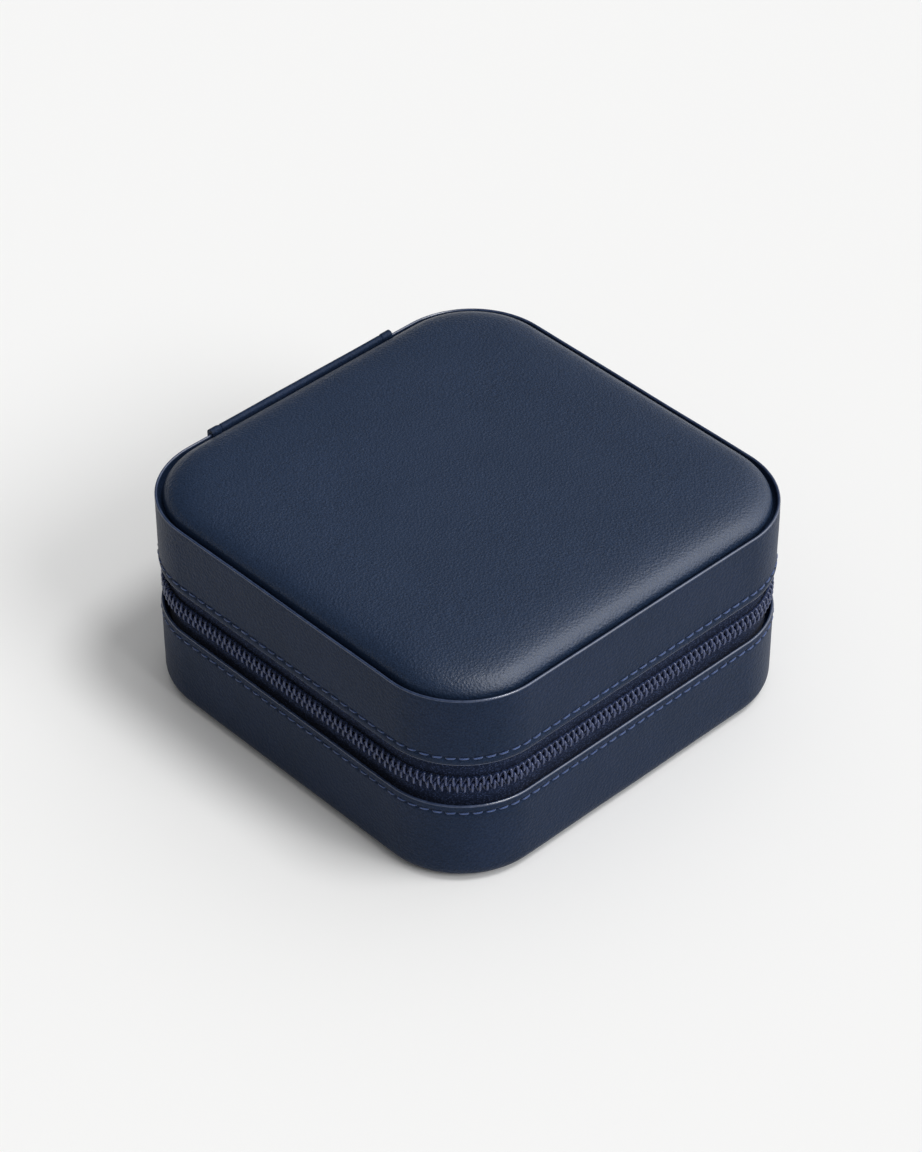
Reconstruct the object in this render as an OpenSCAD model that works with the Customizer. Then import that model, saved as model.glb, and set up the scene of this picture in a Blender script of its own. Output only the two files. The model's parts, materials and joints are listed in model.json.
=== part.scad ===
// Zipped jewellery case: a board shell in leather, hinged at the back by a leather strip.
// Millimetres. The origin is the middle of the underside, +Z is up and -Y is the front.

/* [Case] */
// Outside width, left to right
case_w = 100; // [90:1:150]
// Outside depth, front to back
case_d = 100; // [90:1:150]
// Corner radius in plan
corner_r = 19; // [15:0.5:24]
// Height of the base's leather band
base_h = 20.2; // [19:0.1:32]
// Gap between the two bands, where the zip runs
zip_gap = 10.6; // [9.8:0.1:14]
// Height of the lid's leather band, up to the rim
lid_h = 16.6; // [15:0.1:28]
// Rise of the padded top above the rim
crown_h = 3.4; // [1:0.1:5]

/* [Walls] */
// Thickness of the leather bands, which are turned over at their edges
band_t = 1.6; // [1.2:0.1:2.2]
// Radius of the base band's bottom edge
foot_r = 2; // [1.7:0.1:3]
// Width of the band's turned foot under the base
foot_lip = 5; // [4:0.5:9]
// Thickness of the wall boards
board_t = 1.8; // [1.2:0.1:2.6]
// Thickness of the floor board and of the lid's top board
plate_t = 2; // [1.5:0.1:3]
// Thickness of the leather sheet under the base
bottom_t = 1; // [0.8:0.1:1.6]
// Thickness of the padded top's leather
skin_t = 1; // [0.6:0.1:1.2]
// Width of the groove between the rim and the padded top
groove_w = 0.3; // [0.2:0.1:0.6]
// Depth of the lid's top board below the rim
pad_sink = 2.4; // [1.5:0.1:3]
// Height of the padded top's edge above that board
pad_edge = 1.8; // [0.7:0.1:2]

/* [Seams] */
// Distance of each seam from its band's edge
seam_in = 1.9; // [1.5:0.1:3]
// Distance from one stitch to the next
stitch_pitch = 2.65; // [2:0.05:4]
// Length of one visible stitch
stitch_l = 1.9; // [1.2:0.1:1.9]
// Diameter of the thread
thread_d = 0.4; // [0.3:0.05:0.6]

/* [Zip] */
// Distance from one tooth to the next
tooth_pitch = 1.5; // [1.3:0.05:2]
// Width of one tooth along the chain
tooth_w = 0.8; // [0.6:0.05:0.9]
// Width of the closed chain
chain_w = 4; // [3.6:0.1:5]
// Thickness of a tooth, out from the tape
tooth_t = 1.3; // [0.9:0.1:1.3]
// Gap between the two rows of teeth
row_gap = 0.6; // [0.5:0.05:0.8]
// Extra gap on each side where the chain is still open
open_gap = 0.5; // [0.3:0.1:0.8]
// Thickness of the tape
tape_t = 0.6; // [0.5:0.1:0.8]
// Gap between the edges of the two tapes
tape_gap = 0.7; // [0.6:0.05:1]
// Depth of the tape behind each band
tape_hold = 5; // [4:0.5:7]

/* [Slider] */
// Length of the slider along the chain
slider_l = 8; // [7:0.5:10]
// Width of the slider across the chain
slider_w = 6.4; // [6:0.1:7.4]
// Thickness of each slider plate
slider_t = 0.9; // [0.7:0.1:1]
// Clearance between the slider and what it runs on
slider_gap = 0.2; // [0.15:0.05:0.3]
// Thickness of the post that joins the slider's plates
post_t = 0.4; // [0.3:0.05:0.4]
// Distance of the parked slider from the rear corner's curve
slider_park = 3; // [1:0.5:8]
// Length of the bail along the slider
bail_l = 5.4; // [5:0.1:6]
// Height of the bail's bar above the slider
bail_h = 1.6; // [1.6:0.1:2.2]
// Diameter of the bail's bar
bail_d = 1; // [0.8:0.1:1.2]
// Diameter of the pull tab's eye
eye_d = 2.6; // [2.2:0.1:2.8]
// Clearance between the eye and the bail
eye_gap = 0.08; // [0.05:0.01:0.1]
// Length of the pull tab
pull_l = 17; // [10:0.5:17]
// Width of the pull tab
pull_w = 5; // [4:0.5:7]
// Thickness of the pull tab
pull_t = 1.2; // [1:0.1:1.6]

/* [Hinge] */
// Width of the leather hinge strip
strip_w = 50; // [40:1:56]
// Thickness of the hinge strip
strip_t = 0.8; // [0.6:0.1:1]
// Clearance between the hinge strip and the hinge's axis
hinge_gap = 0.1; // [0.1:0.05:0.2]
// Length of each tape's end that is tucked under the strip
tape_tuck = 1.2; // [0.8:0.1:3]

/* [Tray] */
// Thickness of the floor lining
lining_t = 0.8; // [0.5:0.1:1.2]
// Thickness of the tray's lined wall
tray_t = 1.4; // [1:0.1:2]
// Rise of the tray's wall above the base band
tray_rise = 2.8; // [1:0.1:3]
// Thickness of the fixed partition and of the dividers
divider_t = 1.6; // [1.2:0.1:2.4]
// Height of the partition and the dividers
divider_h = 14.2; // [10:0.1:15]
// Clearance at each end of a divider
divider_gap = 0.15; // [0.1:0.05:0.3]
// Distance of each divider from the middle of the case
divider_y = 15; // [12:0.5:16]
// Height of a ring roll
roll_h = 13.2; // [9:0.1:14]
// Number of ring rolls
roll_count = 4; // [3:1:5]
// Gap between the ring rolls
roll_gap = 0.4; // [0.3:0.1:1]

/* [Lid lining] */
// Thickness of the lid's padded panel
panel_t = 1.6; // [1:0.1:2.4]
// Thickness of the lid's lined wall
lid_lining_t = 1; // [0.7:0.1:1.6]
// Width of the pocket
pocket_w = 76; // [50:1:76]
// Depth of the pocket, front to back
pocket_d = 34; // [20:1:34]
// Distance of the pocket from the lid's back wall
pocket_back = 5; // [1:0.5:8]
// Thickness of the gathered pocket cloth
pocket_t = 2; // [1:0.1:3]
// Width of the pocket's elastic hem
hem_w = 3; // [2:0.5:5]
// Thickness of the elastic hem
hem_t = 2.6; // [1.5:0.1:3.4]

/* [Necklace straps] */
// Number of straps
strap_count = 3; // [2:1:3]
// Distance from one strap to the next
strap_pitch = 24; // [14:1:26]
// Distance of the straps from the lid's front wall
strap_inset = 2.7; // [1:0.1:4]
// Length of a strap's sewn root
root_l = 3; // [2:0.5:4]
// Width of a strap
strap_w = 7; // [5:0.5:9]
// Length of a strap, from its root to its snap
strap_l = 14; // [10:0.5:16]
// Thickness of a strap
strap_t = 1; // [0.8:0.1:1.4]
// Height of a strap's fixed stud
stud_h = 1; // [0.8:0.1:1.6]
// Diameter of a strap's fixed stud
stud_d = 4.4; // [3:0.1:5]
// Diameter of a strap's snap cap
cap_d = 5.6; // [4:0.1:6]
// Thickness of a strap's snap cap
cap_t = 0.8; // [0.5:0.1:1.2]
// Clearance between a strap and its stud
snap_gap = 0.1; // [0.1:0.05:0.2]

/* [Hidden] */
$fn = 96;

leather = [0.10, 0.14, 0.22];
edge_leather = [0.09, 0.12, 0.20];
thread = [0.13, 0.22, 0.42];
tape = [0.05, 0.06, 0.12];
nylon = [0.11, 0.12, 0.22];
board = [0.62, 0.55, 0.44];
foam = [0.88, 0.87, 0.83];
velvet = [0.78, 0.76, 0.73];
metal = [0.66, 0.67, 0.70];

// Heights of the base; the band's foot ends just above the surface under the case
lip_z = 0.2;
panel_gap = 0.2;
floor_z = bottom_t + plate_t;
tray_z = floor_z + lining_t;
tray_top = base_h + tray_rise;
board_drop = 0.3;
// Heights of the zip and the lid
zip_z = base_h + zip_gap / 2;
lid_z = base_h + zip_gap;
rim_z = lid_z + lid_h;
bead_r = band_t / 2;
pad_z = rim_z - pad_sink;
pad_edge_z = pad_z + pad_edge;
top_board_z = pad_z - plate_t;
panel_z = top_board_z - panel_t;
crown_z = rim_z + crown_h;
// Depths from the outside of the wall, inwards
tape_in = band_t;
board_in = tape_in + tape_t;
lining_in = board_in + board_t;
tray_in = lining_in + tray_t;
pad_in = band_t + groove_w;
tooth_in = tape_in - tooth_t;
// The hinge's axis, just behind the strip
hinge_y = case_d / 2 + strip_t + hinge_gap;
// The chain's run, measured along the wall from the middle of the front
zip_r = corner_r - tape_in;
side_x = case_w - 2 * corner_r;
side_y = case_d - 2 * corner_r;
arc_l = PI / 2 * zip_r;
stop_w = 1.6;
stop_gap = 0.2;
chain_end = side_x + side_y + 2 * arc_l - strip_w / 2 - stop_gap - stop_w;
slider_y = side_y / 2 - slider_l / 2 - slider_park;
chain_shut = side_x / 2 + arc_l + side_y / 2 + slider_y;
// What is fixed inside the lid
lid_in = lining_in + lid_lining_t;
pocket_y = case_d / 2 - lid_in - pocket_back - pocket_d;
strap_z = panel_z - stud_h - snap_gap - strap_t;
root_gap = 0.3;
strap_y = -case_d / 2 + lid_in + strap_inset + root_l + root_gap + strap_t / 2;

// ---- Shapes ----

// A solid rounded block, set in from the outside of the case
module block(inset, z0, z1) {
    r = corner_r - inset;
    translate([0, 0, z0]) {
        translate([-case_w / 2 + inset, -side_y / 2, 0])
            cube([case_w - 2 * inset, side_y, z1 - z0]);
        translate([-side_x / 2, -case_d / 2 + inset, 0])
            cube([side_x, case_d - 2 * inset, z1 - z0]);
        for (x = [-1, 1], y = [-1, 1])
            translate([x * side_x / 2, y * side_y / 2, 0])
                cylinder(r = r, h = z1 - z0);
    }
}

// A plain ring between two insets
module ring(outer, inner, z0, z1) {
    difference() {
        block(outer, z0, z1);
        block(inner, z0 - 1, z1 + 1);
    }
}

// Carries a profile of [inset, height] points all the way round the case
module around(profile) {
    for (side = [0:3]) {
        run = side % 2 == 0 ? side_x : side_y;
        reach = side % 2 == 0 ? case_d / 2 : case_w / 2;
        rotate([0, 0, 90 * side]) {
            translate([-run / 2, -reach, 0])
                rotate([90, 0, 90])
                    linear_extrude(run) polygon(profile);
            translate([run / 2, -reach + corner_r, 0])
                rotate([0, 0, -90])
                    rotate_extrude(angle = 90)
                        polygon([for (p = profile) [corner_r - p[0], p[1]]]);
        }
    }
}

// Points of an arc, from one angle to another
function arc(x, y, r, a0, a1, steps) =
    [for (i = [0:steps]) let (a = a0 + (a1 - a0) * i / steps) [x + r * cos(a), y + r * sin(a)]];

// A shallow groove in a band's outer face, where the seam sinks in
function seam_groove(z) =
    [[0, z + thread_d], [thread_d, z + thread_d / 2], [thread_d, z - thread_d / 2], [0, z - thread_d]];

// Places a child on the wall, a distance along the zip's run from the middle of the front
module on_wall(s) {
    t = abs(s);
    a = side_x / 2;
    b = a + arc_l;
    c = b + side_y;
    d = c + arc_l;
    mirror([s < 0 ? 1 : 0, 0, 0])
        if (t <= a)
            translate([t, -case_d / 2, 0]) children();
        else if (t <= b)
            translate([side_x / 2, -side_y / 2, 0])
                rotate([0, 0, (t - a) / arc_l * 90])
                    translate([0, -corner_r, 0]) children();
        else if (t <= c)
            translate([case_w / 2, t - b - side_y / 2, 0]) rotate([0, 0, 90]) children();
        else if (t <= d)
            translate([side_x / 2, side_y / 2, 0])
                rotate([0, 0, 90 + (t - c) / arc_l * 90])
                    translate([0, -corner_r, 0]) children();
        else
            translate([side_x / 2 - (t - d), case_d / 2, 0]) rotate([0, 0, 180]) children();
}

// The padded top: rings of one outline that shrink towards the middle and rise
pad_shares = [1, 0.985, 0.965, 0.93, 0.88, 0.8, 0.6, 0.3];
pad_steps = 10;
function pad_outline(inset, share) = [
    for (q = [0:3], i = [0:pad_steps])
        let (a = 90 * q + 90 * i / pad_steps,
             sx = q == 0 || q == 3 ? 1 : -1,
             sy = q < 2 ? 1 : -1,
             r = corner_r - inset)
        [share * (sx * side_x / 2 + r * cos(a)), share * (sy * side_y / 2 + r * sin(a))]
];
function pad_height(share) = 1 - pow(share, 20);

// A closed solid between the flat board and a crowned top, or between two crowned surfaces
module crowned(inset, edge_z, top_z, under_inset, under_edge_z, under_top_z) {
    n = 4 * (pad_steps + 1);
    m = len(pad_shares);
    upper = [for (s = pad_shares, p = pad_outline(inset, s))
        [p[0], p[1], edge_z + (top_z - edge_z) * pad_height(s)]];
    lower = [for (s = pad_shares, p = pad_outline(under_inset, s))
        [p[0], p[1], under_edge_z + (under_top_z - under_edge_z) * pad_height(s)]];
    foot = [for (p = pad_outline(inset, 1)) [p[0], p[1], pad_z]];
    under_foot = [for (p = pad_outline(under_inset, 1)) [p[0], p[1], pad_z]];
    points = concat(upper, [[0, 0, top_z]], lower, [[0, 0, under_top_z]], foot, under_foot);
    low = n * m + 1;
    base = 2 * low;
    faces = concat(
        [for (k = [0:m - 2], i = [0:n - 1]) let (j = (i + 1) % n)
            [k * n + i, (k + 1) * n + i, (k + 1) * n + j, k * n + j]],
        [for (i = [0:n - 1]) [(m - 1) * n + i, n * m, (m - 1) * n + (i + 1) % n]],
        [for (k = [0:m - 2], i = [0:n - 1]) let (j = (i + 1) % n)
            [low + k * n + j, low + (k + 1) * n + j, low + (k + 1) * n + i, low + k * n + i]],
        [for (i = [0:n - 1]) [low + (m - 1) * n + (i + 1) % n, low + n * m, low + (m - 1) * n + i]],
        [for (i = [0:n - 1]) let (j = (i + 1) % n) [base + i, i, j, base + j]],
        [for (i = [0:n - 1]) let (j = (i + 1) % n) [base + n + j, low + j, low + i, base + n + i]],
        [for (i = [0:n - 1]) let (j = (i + 1) % n) [base + n + i, base + i, base + j, base + n + j]]
    );
    polyhedron(points, faces, convexity = 4);
}

// The foam's solid: the crown above, the flat board below
module crowned_solid(inset, edge_z, top_z) {
    n = 4 * (pad_steps + 1);
    m = len(pad_shares);
    points = concat(
        [for (s = pad_shares, p = pad_outline(inset, s))
            [p[0], p[1], edge_z + (top_z - edge_z) * pad_height(s)]],
        [[0, 0, top_z]],
        [for (p = pad_outline(inset, 1)) [p[0], p[1], pad_z]],
        [[0, 0, pad_z]]
    );
    low = n * m + 1;
    faces = concat(
        [for (k = [0:m - 2], i = [0:n - 1]) let (j = (i + 1) % n)
            [k * n + i, (k + 1) * n + i, (k + 1) * n + j, k * n + j]],
        [for (i = [0:n - 1]) [(m - 1) * n + i, n * m, (m - 1) * n + (i + 1) % n]],
        [for (i = [0:n - 1]) let (j = (i + 1) % n) [low + i, i, j, low + j]],
        [for (i = [0:n - 1]) [low + i, low + (i + 1) % n, low + n]]
    );
    polyhedron(points, faces, convexity = 4);
}

// ---- Base ----

module base_bottom_panel() {
    color(leather) block(foot_lip + panel_gap, 0, bottom_t);
}

module base_floor_board() {
    color(board) block(band_t, bottom_t, floor_z);
}

module base_wall_board() {
    top = base_h - board_drop;
    tape_foot = base_h - tape_hold;
    color(board) around([
        [lining_in, floor_z], [tape_in, floor_z], [tape_in, tape_foot],
        [board_in, tape_foot], [board_in, top], [lining_in, top]
    ]);
}

module base_band() {
    seam_z = base_h - seam_in;
    color(leather) around(concat(
        arc(foot_r, lip_z + foot_r, foot_r, 270, 180, 6),
        [for (i = [3:-1:0]) seam_groove(seam_z)[i]],
        arc(bead_r, base_h - bead_r, bead_r, 180, 0, 8),
        [[band_t, bottom_t], [foot_lip, bottom_t], [foot_lip, lip_z]]
    ));
}

// Stitches all round a band, but not under the hinge strip
module seam(z) {
    last = floor((chain_end + stop_w - stitch_l / 2) / stitch_pitch);
    for (i = [-last:last])
        on_wall(i * stitch_pitch)
            translate([-stitch_l / 2, thread_d / 2, z])
                rotate([0, 90, 0])
                    cylinder(d = thread_d, h = stitch_l, $fn = 16);
}

module base_seam_thread() {
    color(thread) seam(base_h - seam_in);
}

// The back of the case between the ends of the zip, under the hinge strip
module back_bay(z0, z1) {
    translate([-strip_w / 2 + tape_tuck, case_d / 2 - lining_in, z0])
        cube([strip_w - 2 * tape_tuck, lining_in, z1 - z0]);
}

// The stretch of wall behind the slider, where the chain is still open
module open_stretch(half) {
    translate([side_x / 2, slider_y, zip_z - half])
        cube([corner_r + 1, case_d / 2 - slider_y + 1, 2 * half]);
}

module zip_tape(z0, z1) {
    difference() {
        ring(tape_in, board_in, z0, z1);
        back_bay(z0 - 1, z1 + 1);
        open_stretch(tape_gap / 2 + open_gap);
    }
}

// One row of teeth: side is 1 for the lid's row, above the gap, and -1 for the base's
module zip_row(side) {
    shift = side > 0 ? 0 : 0.5;
    last = floor((chain_end - tooth_w / 2) / tooth_pitch - 0.5);
    for (i = [-last:last]) {
        s = (i + shift) * tooth_pitch;
        near = row_gap / 2 + (s > chain_shut ? open_gap : 0);
        on_wall(s)
            translate([-tooth_w / 2, tooth_in, zip_z + (side > 0 ? near : -near - tooth_h())])
                cube([tooth_w, tooth_t, tooth_h()]);
    }
}
function tooth_h() = (chain_w - row_gap) / 2;

// The crimped stops at both ends of one row
module zip_stops(side) {
    for (end = [-1, 1]) {
        near = tape_gap / 2 + (end > 0 ? open_gap : 0);
        on_wall(end * (chain_end + stop_w / 2))
            translate([-stop_w / 2, tooth_in, zip_z + (side > 0 ? near : -near - tooth_h())])
                cube([stop_w, tooth_t, tooth_h()]);
    }
}

module base_zip_tape() {
    color(tape) zip_tape(base_h - tape_hold, zip_z - tape_gap / 2);
}

module base_zip_teeth() {
    color(nylon) zip_row(-1);
}

module base_zip_stops() {
    color(metal) zip_stops(-1);
}

module hinge_strip_lower() {
    top = zip_z - hinge_gap;
    foot = lip_z + foot_r;
    color(edge_leather)
        translate([-strip_w / 2, case_d / 2, foot])
            cube([strip_w, strip_t, top - foot]);
}

// A strip of lining that closes the back of the case between the ends of the tapes
module hinge_lining(z0, z1) {
    half = strip_w / 2 - tape_tuck - stop_gap;
    translate([-half, case_d / 2 - board_in, z0])
        cube([2 * half, tape_t, z1 - z0]);
}

module hinge_lining_lower() {
    color(velvet) hinge_lining(base_h - tape_hold, zip_z - tape_gap / 2);
}

module tray_floor_lining() {
    color(velvet) block(lining_in, floor_z, tray_z);
}

module tray_wall() {
    color(velvet) ring(lining_in, tray_in, tray_z, tray_top);
}

// ---- Tray contents ----

partition_x = -divider_t / 2;
module ring_partition() {
    length = case_d - 2 * tray_in;
    color(velvet)
        translate([partition_x - divider_t / 2, -length / 2, tray_z])
            cube([divider_t, length, divider_h]);
}

roll_bay = case_w / 2 - tray_in + partition_x - divider_t / 2;
roll_pitch = roll_bay / roll_count;
roll_w = roll_pitch - roll_gap;
roll_end_gap = 0.3;
module ring_roll(i) {
    length = case_d - 2 * tray_in - 2 * roll_end_gap;
    x = partition_x - divider_t / 2 - roll_pitch * (i - 0.5);
    r = roll_w / 2;
    if (i <= roll_count)
        color(velvet) intersection() {
            union() {
                translate([x - r, -length / 2, tray_z])
                    cube([roll_w, length, roll_h - r]);
                translate([x, -length / 2, tray_z + roll_h - r])
                    rotate([-90, 0, 0])
                        cylinder(r = r, h = length);
            }
            block(tray_in + roll_end_gap, tray_z, tray_top);
        }
}

module divider(y) {
    x0 = partition_x + divider_t / 2 + divider_gap;
    x1 = case_w / 2 - tray_in - divider_gap;
    color(velvet)
        translate([x0, y - divider_t / 2, tray_z])
            cube([x1 - x0, divider_t, divider_h]);
}

module divider_front() {
    divider(-divider_y);
}

module divider_rear() {
    divider(divider_y);
}

// ---- Lid ----

module lid_top_skin() {
    color(leather)
        crowned(pad_in, pad_edge_z, crown_z, pad_in + skin_t, pad_edge_z - skin_t / 2, crown_z - skin_t);
}

module lid_foam() {
    color(foam)
        crowned_solid(pad_in + skin_t, pad_edge_z - skin_t / 2, crown_z - skin_t);
}

module lid_top_board() {
    color(board) block(band_t, top_board_z, pad_z);
}

module lid_wall_board() {
    foot = lid_z + board_drop;
    tape_top = lid_z + tape_hold;
    color(board) around([
        [lining_in, foot], [board_in, foot], [board_in, tape_top],
        [tape_in, tape_top], [tape_in, top_board_z], [lining_in, top_board_z]
    ]);
}

module lid_band() {
    seam_z = lid_z + seam_in;
    color(leather) around(concat(
        arc(bead_r, lid_z + bead_r, bead_r, 360, 180, 8),
        [for (i = [3:-1:0]) seam_groove(seam_z)[i]],
        arc(bead_r, rim_z - bead_r, bead_r, 180, 0, 8)
    ));
}

module lid_seam_thread() {
    color(thread) seam(lid_z + seam_in);
}

module lid_zip_tape() {
    color(tape) zip_tape(zip_z + tape_gap / 2, lid_z + tape_hold);
}

module lid_zip_teeth() {
    color(nylon) zip_row(1);
}

module lid_zip_stops() {
    color(metal) zip_stops(1);
}

// Runs up the back of the lid and folds over the rim, into the groove
module hinge_strip_upper() {
    bead_z = rim_z - bead_r;
    fold = concat(
        arc(bead_r, bead_z, bead_r + strip_t, 180, 35, 12),
        arc(bead_r, bead_z, bead_r, 35, 180, 12)
    );
    foot = zip_z + hinge_gap;
    color(edge_leather)
        translate([strip_w / 2, case_d / 2, 0])
            rotate([90, 0, -90])
                linear_extrude(strip_w)
                    polygon(concat(fold, [[0, foot], [-strip_t, foot]]));
}

module hinge_lining_upper() {
    color(velvet) hinge_lining(zip_z + tape_gap / 2, lid_z + tape_hold);
}

module lid_wall_lining() {
    color(velvet) ring(lining_in, lining_in + lid_lining_t, lid_z + board_drop, panel_z);
}

module lid_panel() {
    color(velvet) block(lining_in, panel_z, top_board_z);
}

module lid_pocket() {
    color(velvet)
        translate([-pocket_w / 2, pocket_y, panel_z - pocket_t])
            cube([pocket_w, pocket_d, pocket_t]);
}

module pocket_elastic() {
    color(velvet)
        translate([-pocket_w / 2, pocket_y - hem_w, panel_z - hem_t])
            cube([pocket_w, hem_w, hem_t]);
}

// ---- Necklace straps ----

function strap_x(i) = (i - (strap_count + 1) / 2) * strap_pitch;

module strap_anchors() {
    color(edge_leather)
        for (i = [1:strap_count])
            translate([strap_x(i) - strap_w / 2, strap_y - strap_t / 2 - root_gap - root_l, strap_z])
                cube([strap_w, root_l, panel_z - strap_z]);
}

module strap_studs() {
    color(metal)
        for (i = [1:strap_count])
            translate([strap_x(i), strap_y + strap_l, panel_z - stud_h])
                cylinder(d = stud_d, h = stud_h);
}

module necklace_strap(i) {
    if (i <= strap_count)
        translate([strap_x(i), strap_y, strap_z]) {
            color(edge_leather) {
                translate([-strap_w / 2, 0, 0])
                    cube([strap_w, strap_l, strap_t]);
                translate([-strap_w / 2, 0, strap_t / 2])
                    rotate([0, 90, 0])
                        cylinder(d = strap_t, h = strap_w);
                translate([0, strap_l, 0])
                    cylinder(d = strap_w, h = strap_t);
            }
            color(metal)
                translate([0, strap_l, -cap_t])
                    cylinder(d = cap_d, h = cap_t);
        }
}

// ---- Slider, on the right side ----

plate_out = tooth_in - slider_gap;
plate_back = board_in + slider_gap;
bar_out = plate_out - slider_t - bail_h;
post_l = 2.4;
flange_w = 0.5;
foot_w = 1.2;
foot_margin = 0.2;
neck_l = 1.2;

// Works in the wall's own axes: x along the chain, y into the case
module at_slider() {
    translate([case_w / 2, slider_y, zip_z]) rotate([0, 0, 90]) children();
}

module slider_body() {
    color(metal) at_slider() {
        // Outer plate, with a rounded nose towards the open stretch
        translate([-slider_l / 2, plate_out - slider_t, -slider_w / 2])
            cube([slider_l - slider_w / 2, slider_t, slider_w]);
        translate([slider_l / 2 - slider_w / 2, plate_out, 0])
            rotate([90, 0, 0])
                cylinder(d = slider_w, h = slider_t);
        // Shallow flanges that guide the teeth
        for (side = [-1, 1])
            translate([-slider_l / 2, plate_out, side * (slider_w - flange_w) / 2 - flange_w / 2])
                cube([slider_l - slider_w / 2, slider_gap * 0.75, flange_w]);
        // Inner plate, and the post between the plates
        translate([-slider_l / 2, plate_back, -slider_w / 2])
            cube([slider_l - slider_w / 2, slider_t, slider_w]);
        translate([slider_l / 2 - slider_w / 2, plate_back + slider_t, 0])
            rotate([90, 0, 0])
                cylinder(d = slider_w, h = slider_t);
        translate([slider_l / 2 - slider_w / 2, plate_out, -post_t / 2])
            cube([post_l, plate_back - plate_out, post_t]);
        // The bail: two feet and the bar between them
        for (end = [-1, 1])
            translate([end * (bail_l - foot_w) / 2 - foot_w / 2, bar_out - bail_d / 2 - foot_margin,
                       -bail_d / 2 - foot_margin])
                cube([foot_w, bail_h + bail_d / 2 + foot_margin, bail_d + 2 * foot_margin]);
        translate([-bail_l / 2 + foot_w / 2, bar_out, 0])
            rotate([0, 90, 0])
                cylinder(d = bail_d, h = bail_l - foot_w);
    }
}

// Hangs from the bail's bar by its eye
module pull_tab() {
    eye_l = bail_l - 2 * foot_w - 2 * slider_gap;
    shoulder = eye_d / 2 + neck_l;
    color(metal) at_slider() translate([0, bar_out, 0])
        difference() {
            union() {
                translate([-eye_l / 2, 0, 0])
                    rotate([0, 90, 0])
                        cylinder(d = eye_d, h = eye_l);
                translate([-eye_l / 2, -pull_t / 2, -shoulder])
                    cube([eye_l, pull_t, shoulder]);
                translate([-pull_w / 2, -pull_t / 2, -pull_l + pull_w / 2])
                    cube([pull_w, pull_t, pull_l - pull_w / 2 - shoulder]);
                translate([0, pull_t / 2, -pull_l + pull_w / 2])
                    rotate([90, 0, 0])
                        cylinder(d = pull_w, h = pull_t);
            }
            translate([-eye_l, 0, 0])
                rotate([0, 90, 0])
                    cylinder(d = bail_d + 2 * eye_gap, h = 2 * eye_l);
        }
}

base_bottom_panel();
base_floor_board();
base_wall_board();
base_band();
base_seam_thread();
base_zip_tape();
base_zip_teeth();
base_zip_stops();
hinge_strip_lower();
hinge_lining_lower();
tray_floor_lining();
tray_wall();
ring_partition();
ring_roll(1);  // ring_roll_1
ring_roll(2);  // ring_roll_2
ring_roll(3);  // ring_roll_3
ring_roll(4);  // ring_roll_4
divider_front();
divider_rear();
lid_top_skin();
lid_foam();
lid_top_board();
lid_wall_board();
lid_band();
lid_seam_thread();
lid_zip_tape();
lid_zip_teeth();
lid_zip_stops();
hinge_strip_upper();
hinge_lining_upper();
lid_wall_lining();
lid_panel();
lid_pocket();
pocket_elastic();
strap_anchors();
strap_studs();
necklace_strap(1);  // necklace_strap_1
necklace_strap(2);  // necklace_strap_2
necklace_strap(3);  // necklace_strap_3
slider_body();
pull_tab();
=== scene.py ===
import json
import math
import random

import bpy
from mathutils import Matrix, Vector, noise


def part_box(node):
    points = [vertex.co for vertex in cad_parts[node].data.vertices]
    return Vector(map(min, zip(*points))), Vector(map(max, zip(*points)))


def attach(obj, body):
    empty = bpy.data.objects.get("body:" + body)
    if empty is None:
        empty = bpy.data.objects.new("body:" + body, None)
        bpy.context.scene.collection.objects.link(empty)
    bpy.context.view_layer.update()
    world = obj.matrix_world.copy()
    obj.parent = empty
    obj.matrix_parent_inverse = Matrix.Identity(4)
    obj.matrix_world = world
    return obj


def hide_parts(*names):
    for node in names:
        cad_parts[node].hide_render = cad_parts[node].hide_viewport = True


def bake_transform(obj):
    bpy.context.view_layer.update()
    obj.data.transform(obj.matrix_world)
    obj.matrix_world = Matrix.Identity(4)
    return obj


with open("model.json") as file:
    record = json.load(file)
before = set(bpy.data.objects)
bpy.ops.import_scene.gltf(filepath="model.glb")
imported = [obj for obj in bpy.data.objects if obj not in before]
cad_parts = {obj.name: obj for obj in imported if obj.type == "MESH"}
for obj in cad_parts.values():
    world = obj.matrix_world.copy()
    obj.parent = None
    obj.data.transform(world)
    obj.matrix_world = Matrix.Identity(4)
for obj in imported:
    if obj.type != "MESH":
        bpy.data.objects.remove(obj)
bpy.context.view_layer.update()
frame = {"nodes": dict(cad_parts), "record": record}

mm = 0.001
random.seed(4)

# the case's own measures, from the frame
bandLow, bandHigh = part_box("base_band")
lidLow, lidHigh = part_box("lid_band")
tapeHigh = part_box("base_zip_tape")[1]
caseW = bandHigh.x - bandLow.x
caseD = bandHigh.y - bandLow.y
baseTop, lidBottom, rimTop = bandHigh.z, lidLow.z, lidHigh.z
zipZ = (baseTop + lidBottom) / 2
bandT = bandHigh.x - tapeHigh.x
cornerR = 19 * mm
sideX = caseW - 2 * cornerR
sideY = caseD - 2 * cornerR
padLow, crownTop = (corner.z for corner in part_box("lid_top_skin"))
seamLowZ = sum(c.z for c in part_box("base_seam_thread")) / 2
seamHighZ = sum(c.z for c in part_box("lid_seam_thread")) / 2
sliderLow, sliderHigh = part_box("slider_body")
sliderY = (sliderLow.y + sliderHigh.y) / 2


# small helpers
def clearSelection():
    if bpy.context.object and bpy.context.object.mode != 'OBJECT':
        bpy.ops.object.mode_set(mode='OBJECT')
    bpy.ops.object.select_all(action='DESELECT')


def makeActive(piece):
    clearSelection()
    piece.select_set(True)
    bpy.context.view_layer.objects.active = piece


def editAll():
    bpy.ops.object.mode_set(mode='EDIT')
    bpy.ops.mesh.select_all(action='SELECT')


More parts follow.
